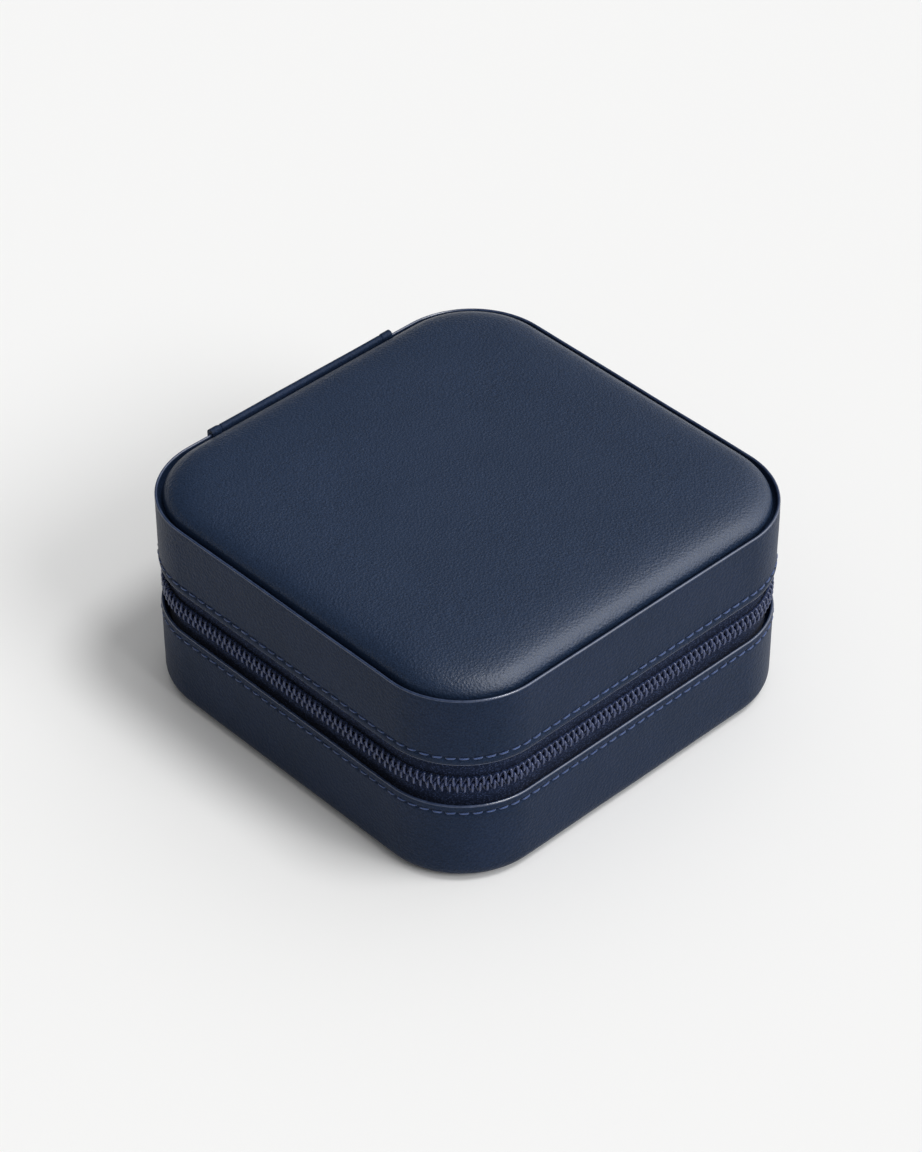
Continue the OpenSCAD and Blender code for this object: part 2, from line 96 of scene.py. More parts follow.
def closeUp():
    # turns every face outward, and leaves edit mode
    bpy.ops.mesh.select_all(action='SELECT')
    bpy.ops.mesh.normals_make_consistent(inside=False)
    bpy.ops.object.mode_set(mode='OBJECT')


def extrude(move):
    bpy.ops.mesh.extrude_region_move(TRANSFORM_OT_translate={"value": move})


def flatFace(name, points, fill='NGON'):
    # a flat face through the points, or only its rim
    clearSelection()
    bpy.ops.mesh.primitive_circle_add(vertices=len(points), radius=1, fill_type=fill, location=(0, 0, 0))
    piece = bpy.context.object
    piece.name = name
    for vertex, point in zip(piece.data.vertices, points):
        vertex.co = point
    return piece


def settle(piece, smoothAngle=40):
    # puts the piece's place into its mesh and smooths its shading
    makeActive(piece)
    bpy.ops.object.transform_apply(location=True, rotation=True, scale=True)
    if smoothAngle:
        bpy.ops.object.shade_smooth_by_angle(angle=math.radians(smoothAngle))
    return piece


def finishModifiers(piece):
    makeActive(piece)
    for modifier in list(piece.modifiers):
        bpy.ops.object.modifier_apply(modifier=modifier.name)


def pick(piece, kind, test):
    # in edit mode, selects the vertices, edges or faces that pass the test
    bpy.ops.mesh.select_mode(type=kind)
    bpy.ops.mesh.select_all(action='DESELECT')
    bpy.ops.object.mode_set(mode='OBJECT')
    mesh = piece.data
    if kind == 'VERT':
        for vertex in mesh.vertices:
            vertex.select = test(vertex.co)
    elif kind == 'EDGE':
        for edge in mesh.edges:
            a, b = (mesh.vertices[i].co for i in edge.vertices)
            edge.select = test(a, b)
    else:
        for face in mesh.polygons:
            face.select = test(face.center, face.normal)
    bpy.ops.object.mode_set(mode='EDIT')


def joinAll(pieces, name):
    clearSelection()
    for piece in pieces:
        piece.select_set(True)
    bpy.context.view_layer.objects.active = pieces[0]
    bpy.ops.object.join()
    joined = bpy.context.object
    joined.name = name
    return joined


def dress(piece, material, body=None):
    piece.data.materials.clear()
    piece.data.materials.append(material)
    if body:
        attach(piece, body)
    return piece


def smoothStep(t):
    t = min(max(t, 0), 1)
    return t * t * (3 - 2 * t)


# the way round the case
arcLength = cornerR * math.pi / 2
wayRound = 2 * sideX + 2 * sideY + 4 * arcLength


def wallPoint(run, inset=0):
    # a point on the wall and its outward direction, from the middle of the front towards the right
    run = (run + wayRound / 2) % wayRound - wayRound / 2
    side = abs(run)
    sign = 1 if run >= 0 else -1
    ends = [sideX / 2, arcLength, sideY, arcLength, sideX / 2]
    part = 0
    while part < 4 and side > ends[part]:
        side -= ends[part]
        part += 1
    if part == 0:
        place, out = Vector((side, -caseD / 2, 0)), Vector((0, -1, 0))
    elif part == 1:
        a = side / cornerR
        out = Vector((math.sin(a), -math.cos(a), 0))
        place = Vector((sideX / 2, -sideY / 2, 0)) + out * cornerR
    elif part == 2:
        place, out = Vector((caseW / 2, side - sideY / 2, 0)), Vector((1, 0, 0))
    elif part == 3:
        a = side / cornerR
        out = Vector((math.cos(a), math.sin(a), 0))
        place = Vector((sideX / 2, sideY / 2, 0)) + out * cornerR
    else:
        place, out = Vector((sideX / 2 - side, caseD / 2, 0)), Vector((0, 1, 0))
    place.x *= sign
    out.x *= sign
    return place - out * inset, out


def runAt(point):
    # how far round the wall a point stands, and the outward direction there
    x, y = abs(point.x), point.y
    if y < -sideY / 2 and x < sideX / 2:
        run, out = x, Vector((0, -1, 0))
    elif y > sideY / 2 and x < sideX / 2:
        run, out = wayRound / 2 - x, Vector((0, 1, 0))
    elif abs(y) <= sideY / 2:
        run, out = sideX / 2 + arcLength + y + sideY / 2, Vector((1, 0, 0))
    else:
        front = y < 0
        dx, dy = x - sideX / 2, abs(y) - sideY / 2
        a = math.atan2(dx, dy)
        run = sideX / 2 + a * cornerR if front else wayRound / 2 - sideX / 2 - a * cornerR
        out = Vector((math.sin(a), -math.cos(a) if front else math.cos(a), 0))
    if point.x < 0:
        run, out.x = -run, -out.x
    return run, out


def arc(inset, height, radius, start, end, steps):
    turns = [math.radians(start + (end - start) * i / steps) for i in range(steps + 1)]
    return [(inset + radius * math.cos(a), height + radius * math.sin(a)) for a in turns]


def sweep(name, profile, cornerSteps=30, sideCell=1.6 * mm, gap=0):
    # carries a closed profile of (inset, height) points round the case, from the middle of the back
    piece = flatFace(name, [(-gap, caseD / 2 - inset, height) for inset, height in profile], 'NOTHING')
    bpy.ops.object.mode_set(mode='EDIT')
    bpy.ops.mesh.select_mode(type='EDGE')
    bpy.ops.mesh.select_all(action='SELECT')
    backLeg = (gap - sideX / 2, 0, 0)
    legs = [(backLeg, (-1, 1)), ((0, -sideY, 0), (-1, -1)), ((sideX, 0, 0), (1, -1)),
            ((0, sideY, 0), (1, 1)), (backLeg, None)]
    for move, corner in legs:
        extrude(move)
        if corner:
            centre = (corner[0] * sideX / 2, corner[1] * sideY / 2, 0)
            bpy.ops.mesh.spin(steps=cornerSteps, angle=-math.pi / 2, center=centre, axis=(0, 0, 1))
    bpy.ops.mesh.select_all(action='SELECT')
    bpy.ops.mesh.remove_doubles(threshold=0.002 * mm)
    if gap:
        for end in (-gap, gap):
            pick(piece, 'EDGE', lambda a, b: a.y > 0 and abs(a.x - end) + abs(b.x - end) < 0.01 * mm)
            bpy.ops.mesh.edge_face_add()
    for length in {sideX, sideY, sideX / 2 - gap}:
        pick(piece, 'EDGE',
             lambda a, b: abs((a - b).length - length) < 0.01 * mm and abs(a.z - b.z) < 0.001 * mm)
        bpy.ops.mesh.subdivide(number_cuts=round(length / sideCell) - 1)
    closeUp()
    return piece


def runMap(piece):
    # a UV map in millimetres: along the wall, and up it
    while piece.data.uv_layers:
        piece.data.uv_layers.remove(piece.data.uv_layers[0])
    layer = piece.data.uv_layers.new(name="run")
    for face in piece.data.polygons:
        for corner in face.loop_indices:
            co = piece.data.vertices[piece.data.loops[corner].vertex_index].co
            layer.data[corner].uv = (runAt(co)[0] / mm, co.z / mm)


print("helpers ready")

# camera, floor and light
cameraSet = {"target": (0.73 * mm, 2.58 * mm, 23.36 * mm), "azimuth": -43.6088, "elevation": 40.0678,
             "distance": 751.5 * mm, "lens": 114.36}


def addCamera():
    turn, lift = math.radians(cameraSet["azimuth"]), math.radians(cameraSet["elevation"])
    back = Vector((math.sin(turn) * math.cos(lift), -math.cos(turn) * math.cos(lift), math.sin(lift)))
    place = Vector(cameraSet["target"]) + back * cameraSet["distance"]
    bpy.ops.object.camera_add(location=place)
    camera = bpy.context.object
    camera.rotation_euler = (-back).to_track_quat('-Z', 'Y').to_euler()
    camera.data.lens = cameraSet["lens"]
    camera.data.sensor_width = 36
    camera.data.clip_start = 0.01
    bpy.context.scene.camera = camera


lightSet = {
    "floor": (0.89, 0.89, 0.885),
    "sky": {"horizon": 0.02, "top": 0.74, "side": (-1.2, 1.2, 0.42, 1.58)},
    "cove": {"horizon": 0.38, "top": 0.03, "side": (-0.6, 1.1, 0.02, 1.3)},
    "window": {"from": (0.55, -0.50, 0.67), "fall": 5.0, "power": 4.2},
    "backdrop": 0.91,
    "key": {"from": (0.215, -0.31, 0.925), "spread": 16, "power": 1.04},
    "front": {"from": (0.12, -0.78, 0.61), "spread": 28, "power": 1.20},
}


def addLamp(name, look):
    # a broad distant lamp, which lights the case and the floor evenly
    clearSelection()
    bpy.ops.object.light_add(type='SUN', location=look["from"])
    lamp = bpy.context.object
    lamp.name = name
    lamp.data.angle = math.radians(look["spread"])
    lamp.data.energy = look["power"]
    lamp.rotation_euler = Vector(look["from"]).to_track_quat('Z', 'Y').to_euler()


def addStage():
    bpy.context.scene.view_settings.view_transform = 'Standard'
    clearSelection()
    bpy.ops.mesh.primitive_plane_add(size=6, location=(0, 0, 0))
    floor = bpy.context.object
    floor.name = "floor"
    material = bpy.data.materials.new("paleFloor")
    material.use_nodes = True
    shader = material.node_tree.nodes["Principled BSDF"]
    shader.inputs["Base Color"].default_value = (*lightSet["floor"], 1)
    shader.inputs["Roughness"].default_value = 0.9
    shader.inputs["Specular IOR Level"].default_value = 0.1
    floor.data.materials.append(material)

    world = bpy.data.worlds.new("studio")
    bpy.context.scene.world = world
    world.use_nodes = True
    tree = world.node_tree
    coords = tree.nodes.new('ShaderNodeTexCoord')
    height = tree.nodes.new('ShaderNodeSeparateXYZ')
    tree.links.new(coords.outputs["Generated"], height.inputs[0])
    side = tree.nodes.new('ShaderNodeMath')
    side.operation = 'SUBTRACT'
    tree.links.new(height.outputs["X"], side.inputs[0])
    tree.links.new(height.outputs["Y"], side.inputs[1])
    fades = []
    # the soft light overhead, and the pale cove that gloss shows
    for name in ("sky", "cove"):
        look = lightSet[name]
        both = tree.nodes.new('ShaderNodeMath')
        both.operation = 'MULTIPLY'
        spans = ((height.outputs["Z"], (0, 1.0 if name == "sky" else 0.8, look["horizon"], look["top"])),
                 (side.outputs[0], look["side"]))
        for slot, (source, span) in enumerate(spans):
            fade = tree.nodes.new('ShaderNodeMapRange')
            for socket, value in zip(("From Min", "From Max", "To Min", "To Max"), span):
                fade.inputs[socket].default_value = value
            tree.links.new(source, fade.inputs["Value"])
            tree.links.new(fade.outputs[0], both.inputs[slot])
        fades.append(both)
    window = lightSet["window"]                        # a broad pale window at the front right, also for gloss
    facing = tree.nodes.new('ShaderNodeVectorMath')
    facing.operation = 'DOT_PRODUCT'
    tree.links.new(coords.outputs["Generated"], facing.inputs[0])
    facing.inputs[1].default_value = window["from"]
    steps = [facing.outputs["Value"]]
    for operation, amount in (('MAXIMUM', 0), ('POWER', window["fall"]), ('MULTIPLY', window["power"])):
        step = tree.nodes.new('ShaderNodeMath')
        step.operation = operation
        tree.links.new(steps[-1], step.inputs[0])
        step.inputs[1].default_value = amount
        steps.append(step.outputs[0])
    lit = tree.nodes.new('ShaderNodeMath')
    tree.links.new(fades[1].outputs[0], lit.inputs[0])
    tree.links.new(steps[-1], lit.inputs[1])
    path = tree.nodes.new('ShaderNodeLightPath')
    choice = tree.nodes.new('ShaderNodeMix')
    tree.links.new(path.outputs["Is Glossy Ray"], choice.inputs["Factor"])
    tree.links.new(fades[0].outputs[0], choice.inputs[2])
    tree.links.new(lit.outputs[0], choice.inputs[3])
    tree.nodes["Background"].inputs["Color"].default_value = (1, 1, 1, 1)
    seen = tree.nodes.new('ShaderNodeMix')             # the camera itself sees the floor's colour go on
    tree.links.new(path.outputs["Is Camera Ray"], seen.inputs["Factor"])
    tree.links.new(choice.outputs[0], seen.inputs[2])
    seen.inputs[3].default_value = lightSet["backdrop"]
    tree.links.new(seen.outputs[0], tree.nodes["Background"].inputs["Strength"])


addCamera()
addStage()
for lampName in ("key", "front"):
    addLamp(lampName, lightSet[lampName])
print("camera, floor and light ready")


# materials
def startMaterial(name, roughness, metallic=0.0):
    material = bpy.data.materials.new(name)
    material.use_nodes = True
    tree = material.node_tree
    shader = tree.nodes["Principled BSDF"]
    shader.inputs["Roughness"].default_value = roughness
    shader.inputs["Metallic"].default_value = metallic
    return material, tree, shader


def addNode(tree, kind, **values):
    node = tree.nodes.new(kind)
    for key, value in values.items():
        if key in node.inputs.keys():
            node.inputs[key].default_value = value
        else:
            setattr(node, key, value)
    return node


def objectPoint(tree, scale=1000.0):
    # object coordinates, in millimetres
    coords = addNode(tree, 'ShaderNodeTexCoord')
    mapping = addNode(tree, 'ShaderNodeMapping', Scale=(scale, scale, scale))
    tree.links.new(coords.outputs["Object"], mapping.inputs["Vector"])
    return mapping.outputs["Vector"]


def ramp(tree, source, low, high, lowAt=0.3, highAt=0.7):
    node = addNode(tree, 'ShaderNodeValToRGB')
    node.color_ramp.elements[0].position = lowAt
    node.color_ramp.elements[1].position = highAt
    node.color_ramp.elements[0].color = (*low, 1)
    node.color_ramp.elements[1].color = (*high, 1)
    tree.links.new(source, node.inputs[0])
    return node.outputs[0]


def addBump(tree, shader, heights):
    # heights: (socket, strength, distance) from the coarsest to the finest
    normal = None
    for height, strength, distance in heights:
        bump = addNode(tree, 'ShaderNodeBump', Strength=strength, Distance=distance)
        tree.links.new(height, bump.inputs["Height"])
        if normal:
            tree.links.new(normal, bump.inputs["Normal"])
        normal = bump.outputs["Normal"]
    tree.links.new(normal, shader.inputs["Normal"])


# the crease value darkens the colour in the grain's creases and lightens its tops: painted shade and light
leatherSet = {"dark": (0.0105, 0.0205, 0.0460), "light": (0.0140, 0.0250, 0.0560), "creaseShade": 0.5,
              "roughness": 0.42, "specular": 0.07, "grain": 1.6, "grainDepth": 1.0}
# the padded top's leather is a lighter copy of the wall leather, painted light on the top, with its own higher
# specular
litTopSet = {"dark": (0.0128, 0.0255, 0.0565), "light": (0.0152, 0.0290, 0.0630), "creaseShade": 0.5,
          "roughness": 0.40, "specular": 0.4, "grain": 2.1, "grainDepth": 0.80}


def makeLeather(name, look):
    material, tree, shader = startMaterial(name, look["roughness"])
    point = objectPoint(tree)
    cloud = addNode(tree, 'ShaderNodeTexNoise', Scale=0.09, Detail=4.0, Roughness=0.6)
    pebble = addNode(tree, 'ShaderNodeTexVoronoi', Scale=look["grain"], Randomness=1.0)
    pebble.feature = 'SMOOTH_F1'
    pebble.inputs["Smoothness"].default_value = 0.6
    pores = addNode(tree, 'ShaderNodeTexNoise', Scale=look["grain"] * 2.3, Detail=3.0, Roughness=0.65)
    swell = addNode(tree, 'ShaderNodeTexNoise', Scale=0.25, Detail=2.0)
    for node in (cloud, pebble, pores, swell):
        tree.links.new(point, node.inputs["Vector"])
    # painted shade and light: the colour darkens in the grain's creases and lightens on its raised tops, following the
    # pores noise that also drives the bump
    grainShading = addNode(tree, 'ShaderNodeMix', data_type='RGBA')
    grainShading.blend_type = 'MULTIPLY'
    grainShading.inputs["Factor"].default_value = 1.0
    tree.links.new(ramp(tree, cloud.outputs[0], look["dark"], look["light"]), grainShading.inputs[6])
    creaseShade, raisedLight = look["creaseShade"], 2 - look["creaseShade"]
    tree.links.new(ramp(tree, pores.outputs[0], (creaseShade,) * 3, (raisedLight,) * 3, 0.32, 0.68), grainShading.inputs[7])
    tree.links.new(grainShading.outputs[2], shader.inputs["Base Color"])
    rough = addNode(tree, 'ShaderNodeMapRange')
    rough.inputs["To Min"].default_value = look["roughness"] - 0.05
    rough.inputs["To Max"].default_value = look["roughness"] + 0.06
    tree.links.new(pores.outputs[0], rough.inputs["Value"])
    tree.links.new(rough.outputs[0], shader.inputs["Roughness"])
    shader.inputs["Specular IOR Level"].default_value = look["specular"]
    depth = look["grainDepth"]
    addBump(tree, shader, [(swell.outputs[0], 0.2, 0.25 * mm), (pebble.outputs["Distance"], depth, 0.10 * mm),
                           (pores.outputs[0], depth, 0.06 * mm)])
    return material


# the edge colours are lighter than the leather: a painted highlight on the turned edges, over a real glossy coat
edgeCoatHighlightSet = {"dark": (0.020, 0.033, 0.074), "light": (0.045, 0.066, 0.130), "roughness": 0.2, "specular": 0.8}


def makeEdgeCoatHighlight(look):
    # the glossy coat on the turned edges; its colour, lighter than the leather, is a painted highlight
    material, tree, shader = startMaterial("edgeCoatHighlight", look["roughness"])
    point = objectPoint(tree)
    streak = addNode(tree, 'ShaderNodeTexNoise', Scale=0.55, Detail=4.0, Roughness=0.6)
    tree.links.new(point, streak.inputs["Vector"])
    tree.links.new(ramp(tree, streak.outputs[0], look["dark"], look["light"]), shader.inputs["Base Color"])
    shader.inputs["Specular IOR Level"].default_value = look["specular"]
    addBump(tree, shader, [(streak.outputs[0], 0.3, 0.12 * mm)])
    return material


threadSet = {"dark": (0.013, 0.034, 0.115), "light": (0.045, 0.10, 0.29), "twist": 5.0}


def makeThread(look):
    material, tree, shader = startMaterial("stitchThread", 0.6)
    uv = addNode(tree, 'ShaderNodeUVMap')
    twist = addNode(tree, 'ShaderNodeTexWave', Scale=look["twist"], Distortion=0.4)
    twist.bands_direction = 'DIAGONAL'
    tree.links.new(uv.outputs[0], twist.inputs["Vector"])
    tree.links.new(ramp(tree, twist.outputs[0], look["dark"], look["light"]), shader.inputs["Base Color"])
    addBump(tree, shader, [(twist.outputs[0], 0.6, 0.04 * mm)])
    shader.inputs["Sheen Weight"].default_value = 0.3
    return material


tapeSet = {"dark": (0.0040, 0.0095, 0.030), "light": (0.044, 0.076, 0.190), "loop": 2.1, "slant": 32}


def makeTape(look):
    material, tree, shader = startMaterial("zipTapeWeave", 0.78)
    uv = addNode(tree, 'ShaderNodeUVMap')
    turn = addNode(tree, 'ShaderNodeMapping', Rotation=(0, 0, math.radians(look["slant"])), Scale=(1, 1.7, 1))
    loops = addNode(tree, 'ShaderNodeTexVoronoi', Scale=look["loop"], Randomness=0.7)
    shade = addNode(tree, 'ShaderNodeTexNoise', Scale=0.6, Detail=3.0)
    tree.links.new(uv.outputs[0], turn.inputs["Vector"])
    tree.links.new(turn.outputs[0], loops.inputs["Vector"])
    tree.links.new(uv.outputs[0], shade.inputs["Vector"])
    knit = addNode(tree, 'ShaderNodeMath', operation='MULTIPLY')
    tree.links.new(ramp(tree, loops.outputs["Distance"], (1, 1, 1), (0, 0, 0), 0.05, 0.55), knit.inputs[0])
    tree.links.new(ramp(tree, shade.outputs[0], (0.5, 0.5, 0.5), (1, 1, 1)), knit.inputs[1])
    tree.links.new(ramp(tree, knit.outputs[0], look["dark"], look["light"], 0.05, 0.95),
                   shader.inputs["Base Color"])
    addBump(tree, shader, [(knit.outputs[0], 0.8, 0.16 * mm)])
    shader.inputs["Specular IOR Level"].default_value = 0.08
    shader.inputs["Sheen Weight"].default_value = 0.08
    return material


coilSet = {"dark": (0.024, 0.036, 0.092), "light": (0.050, 0.070, 0.160), "roughness": 0.2}


def makeCoilNylon(look):
    material, tree, shader = startMaterial("coilNylon", look["roughness"])
    point = objectPoint(tree)
    streak = addNode(tree, 'ShaderNodeTexNoise', Scale=1.4, Detail=3.0)
    tree.links.new(point, streak.inputs["Vector"])
    tree.links.new(ramp(tree, streak.outputs[0], look["dark"], look["light"]), shader.inputs["Base Color"])
    addBump(tree, shader, [(streak.outputs[0], 0.25, 0.05 * mm)])
    return material


metalSet = {"dark": (0.36, 0.36, 0.38), "light": (0.54, 0.54, 0.56), "roughness": 0.26}


def makeMetal(look):
    material, tree, shader = startMaterial("nickelPlate", look["roughness"], 1.0)
    point = objectPoint(tree)
    smear = addNode(tree, 'ShaderNodeTexNoise', Scale=0.8, Detail=4.0, Roughness=0.6)
    tree.links.new(point, smear.inputs["Vector"])
    tree.links.new(ramp(tree, smear.outputs[0], look["dark"], look["light"]), shader.inputs["Base Color"])
    rough = addNode(tree, 'ShaderNodeMapRange')
    rough.inputs["To Min"].default_value = look["roughness"] - 0.08
    rough.inputs["To Max"].default_value = look["roughness"] + 0.12
    tree.links.new(smear.outputs[0], rough.inputs["Value"])
    tree.links.new(rough.outputs[0], shader.inputs["Roughness"])
    addBump(tree, shader, [(smear.outputs[0], 0.08, 0.05 * mm)])
    return material


velvetSet = {"dark": (0.30, 0.275, 0.25), "light": (0.42, 0.39, 0.36)}


def makeVelvet(look):
    material, tree, shader = startMaterial("velvetLining", 0.95)
    point = objectPoint(tree)
    brushed = addNode(tree, 'ShaderNodeTexNoise', Scale=0.16, Detail=5.0, Roughness=0.65)
    pile = addNode(tree, 'ShaderNodeTexNoise', Scale=3.2, Detail=4.0, Roughness=0.75)
    for node in (brushed, pile):
        tree.links.new(point, node.inputs["Vector"])
    tree.links.new(ramp(tree, brushed.outputs[0], look["dark"], look["light"]), shader.inputs["Base Color"])
    addBump(tree, shader, [(brushed.outputs[0], 0.3, 0.2 * mm), (pile.outputs[0], 0.6, 0.12 * mm)])
    shader.inputs["Sheen Weight"].default_value = 0.6
    shader.inputs["Sheen Roughness"].default_value = 0.4
    return material


def makeBoard():
    material, tree, shader = startMaterial("pulpBoard", 0.9)
    point = objectPoint(tree)
    fibre = addNode(tree, 'ShaderNodeTexNoise', Scale=1.1, Detail=6.0, Roughness=0.7)
    tree.links.new(point, fibre.inputs["Vector"])
    tree.links.new(ramp(tree, fibre.outputs[0], (0.30, 0.25, 0.19), (0.46, 0.40, 0.31)),
                   shader.inputs["Base Color"])
    addBump(tree, shader, [(fibre.outputs[0], 0.3, 0.1 * mm)])
    return material


def makeFoam():
    material, tree, shader = startMaterial("padFoam", 0.95)
    point = objectPoint(tree)
    cells = addNode(tree, 'ShaderNodeTexVoronoi', Scale=1.6)
    tree.links.new(point, cells.inputs["Vector"])
    tree.links.new(ramp(tree, cells.outputs["Distance"], (0.55, 0.52, 0.44), (0.78, 0.76, 0.70), 0.1, 0.6),
                   shader.inputs["Base Color"])
    addBump(tree, shader, [(cells.outputs["Distance"], 0.5, 0.2 * mm)])
    return material


leather = makeLeather("navyLeather", leatherSet)
litTopLeather = makeLeather("paddedLeatherLitCopy", litTopSet)
edgeCoatHighlight = makeEdgeCoatHighlight(edgeCoatHighlightSet)
thread = makeThread(threadSet)
tapeWeave = makeTape(tapeSet)
coilNylon = makeCoilNylon(coilSet)
nickel = makeMetal(metalSet)
velvet = makeVelvet(velvetSet)
board = makeBoard()
foam = makeFoam()
nodeMaterials = {"leather": leather, "thread": thread, "zip_tape": tapeWeave, "zip_nylon": coilNylon,
                 "metal": nickel, "velvet": velvet, "board": board, "foam": foam}
for part in frame["record"]["subparts"]:
    nodeObject = frame["nodes"][part["node"]]
    nodeObject.data.materials.clear()
    nodeObject.data.materials.append(nodeMaterials[part["material_slot"]])
print("materials ready")

# leather bands
bandSet = {"edgeR": 0.29 * mm, "lipDeep": 1.9 * mm, "footR": 3.3 * mm, "footLip": 5.0 * mm, "footInner": 1.0 * mm,
           "grooveW": 0.34 * mm, "grooveD": 0.16 * mm, "holeD": 0.24 * mm, "hem": 0.10 * mm,
           "wave": 0.07 * mm, "painted": 0.30 * mm, "paintDeep": 0.62 * mm}
seamSet = {"pitch": 2.65 * mm, "length": 2.0 * mm, "thread": 0.36 * mm, "lift": 0.02 * mm,
           "endRun": 25.4 * mm}


def seamProfile(seamZ, edgeZ):
    # the outer face from the plain wall, past the seam's groove, to the hem at the band's edge
    way = 1 if edgeZ > seamZ else -1
    wide, deep, proud = bandSet["grooveW"], bandSet["grooveD"], -bandSet["hem"]
    offsets = [(-3.2, 0), (-1.7, 0), (-1, deep * 0.35), (-0.35, deep), (0.35, deep),
               (1, deep * 0.1), (1.9, proud * 0.7), (2.9, proud)]
    return [(inset, seamZ + way * step * wide) for step, inset in offsets]


def addStitchHoles(piece, seamZ):
    # sinks the leather at the holes between stitches, and gives the wall its slight waves
    pitch, reach = seamSet["pitch"], bandSet["grooveW"] * 1.6
    for vertex in piece.data.vertices:
        run, out = runAt(vertex.co)
        wallInset = (wallPoint(run)[0] - vertex.co).dot(out)
        if wallInset > 1.2 * mm:
            continue
        near = max(0, 1 - abs(vertex.co.z - seamZ) / reach)
        hole = (0.5 + 0.5 * math.cos(2 * math.pi * (run / pitch + 0.5))) ** 3
        wave = noise.noise(Vector((run / (14 * mm), vertex.co.z / (7 * mm), seamZ * 900)))
        vertex.co -= out * (near * hole * bandSet["holeD"] - wave * bandSet["wave"])


def coatEdgesWithHighlight(piece, heights):
    # the faces of the lips get the glossy coat, whose lighter colour is a painted highlight
    piece.data.materials.append(edgeCoatHighlight)
    for face in piece.data.polygons:
        run, out = runAt(face.center)
        deep = (wallPoint(run)[0] - face.center).dot(out)
        near = min(abs(face.center.z - height) for height in heights)
        if near < bandSet["painted"] and deep < bandSet["paintDeep"]:
            face.material_index = 1


def makeBaseBand():
    r, foot, deep = bandSet["edgeR"], bandSet["footR"], bandSet["lipDeep"]
    bottom = bandLow.z
    wall = [(0, bottom + foot + k * (seamLowZ - bottom - foot) / 5) for k in (1, 2, 3, 4)]
    profile = (arc(foot, bottom + foot, foot, 270, 180, 7) + wall + seamProfile(seamLowZ, baseTop)
               + arc(r, baseTop - r, r, 180, 0, 8)
               + [(2 * r + 0.05 * mm, baseTop - deep), (bandT, baseTop - deep - 0.7 * mm), (bandT, foot),
                  (foot, bandSet["footInner"]), (bandSet["footLip"], bandSet["footInner"]),
                  (bandSet["footLip"], bottom)])
    band = sweep("baseBand", profile, cornerSteps=44, sideCell=0.68 * mm)
    addStitchHoles(band, seamLowZ)
    settle(band, 50)
    dress(band, leather, "base")
    coatEdgesWithHighlight(band, [baseTop])
    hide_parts("base_band")


def makeLidBand():
    r, deep = bandSet["edgeR"], bandSet["lipDeep"]
    wall = [(0, seamHighZ + k * (rimTop - 1.4 * mm - seamHighZ) / 5) for k in (1, 2, 3, 4, 5)]
    hemUp = list(reversed(seamProfile(seamHighZ, lidBottom)))
    profile = ([(bandT, lidBottom + deep + 0.7 * mm), (2 * r + 0.05 * mm, lidBottom + deep)]
               + arc(r, lidBottom + r, r, 360, 180, 8) + hemUp + wall + arc(r, rimTop - r, r, 180, 0, 8)
               + [(2 * r + 0.05 * mm, rimTop - 1.4 * mm), (1.1 * mm, padLow + 0.5 * mm),
                  (1.5 * mm, padLow + 0.32 * mm), (3.6 * mm, padLow + 0.2 * mm), (3.6 * mm, padLow + 0.03 * mm),
                  (bandT, padLow + 0.01 * mm)])
    band = sweep("lidBand", profile, cornerSteps=44, sideCell=0.68 * mm)
    addStitchHoles(band, seamHighZ)
    settle(band, 50)
    dress(band, leather, "lid")
    coatEdgesWithHighlight(band, [rimTop, lidBottom])
    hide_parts("lid_band")


makeBaseBand()
makeLidBand()
print("leather bands ready")


# stitches
def makeStitch():
    # one stitch, lying along X, its ends turned down into the holes
    clearSelection()
    length, width = seamSet["length"], seamSet["thread"]
    bpy.ops.mesh.primitive_cylinder_add(vertices=8, radius=width / 2, depth=length, end_fill_type='NGON',
                                        rotation=(0, math.pi / 2, 0))
    stitch = bpy.context.object
    bpy.ops.object.transform_apply(location=False, rotation=True, scale=False)
    bpy.ops.object.mode_set(mode='EDIT')
    pick(stitch, 'EDGE', lambda a, b: abs(a.x - b.x) > length / 2)
    bpy.ops.mesh.subdivide(number_cuts=6)
    bpy.ops.object.mode_set(mode='OBJECT')
    for vertex in stitch.data.vertices:
        end = abs(vertex.co.x) / (length / 2)
        thin = 1 - 0.45 * max(0, (end - 0.6) / 0.4) ** 2
        vertex.co.z *= thin
        vertex.co.y = vertex.co.y * thin + 0.24 * mm * end ** 4
    layer = stitch.data.uv_layers[0] if stitch.data.uv_layers else stitch.data.uv_layers.new(name="run")
    for loop in stitch.data.loops:
        co = stitch.data.vertices[loop.vertex_index].co
        layer.data[loop.index].uv = (co.x / (1.2 * mm), math.atan2(co.z, co.y) / (2 * math.pi))
    return stitch


def makeSeam(name, seamZ, body, replaced):
    stitch = makeStitch()
    reach = wayRound / 2 - seamSet["endRun"]
    count = int((reach - seamSet["length"] / 2) / seamSet["pitch"])
    copies = []
    for i in range(-count, count + 1):
        mesh = stitch.data.copy()
        copy = bpy.data.objects.new("stitch", mesh)
        bpy.context.collection.objects.link(copy)
        place, out = wallPoint(i * seamSet["pitch"], seamSet["lift"] - seamSet["thread"] * 0.12)
        along = Vector((-out.y, out.x, 0))
        slant = random.uniform(-0.05, 0.05) + 0.06
        along = (along + Vector((0, 0, slant))).normalized()
        up = along.cross(-out).normalized() * -1
        turn = Matrix((along, -out, up)).transposed().to_4x4()
        turn.translation = place + Vector((0, 0, seamZ + random.uniform(-0.03, 0.03) * mm))
        mesh.transform(turn)
        copies.append(copy)
    bpy.data.objects.remove(stitch)
    seam = joinAll(copies, name)
    settle(seam, 60)
    dress(seam, thread, body)
    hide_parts(replaced)


makeSeam("baseSeam", seamLowZ, "base", "base_seam_thread")
makeSeam("lidSeam", seamHighZ, "lid", "lid_seam_thread")
print("stitches ready")

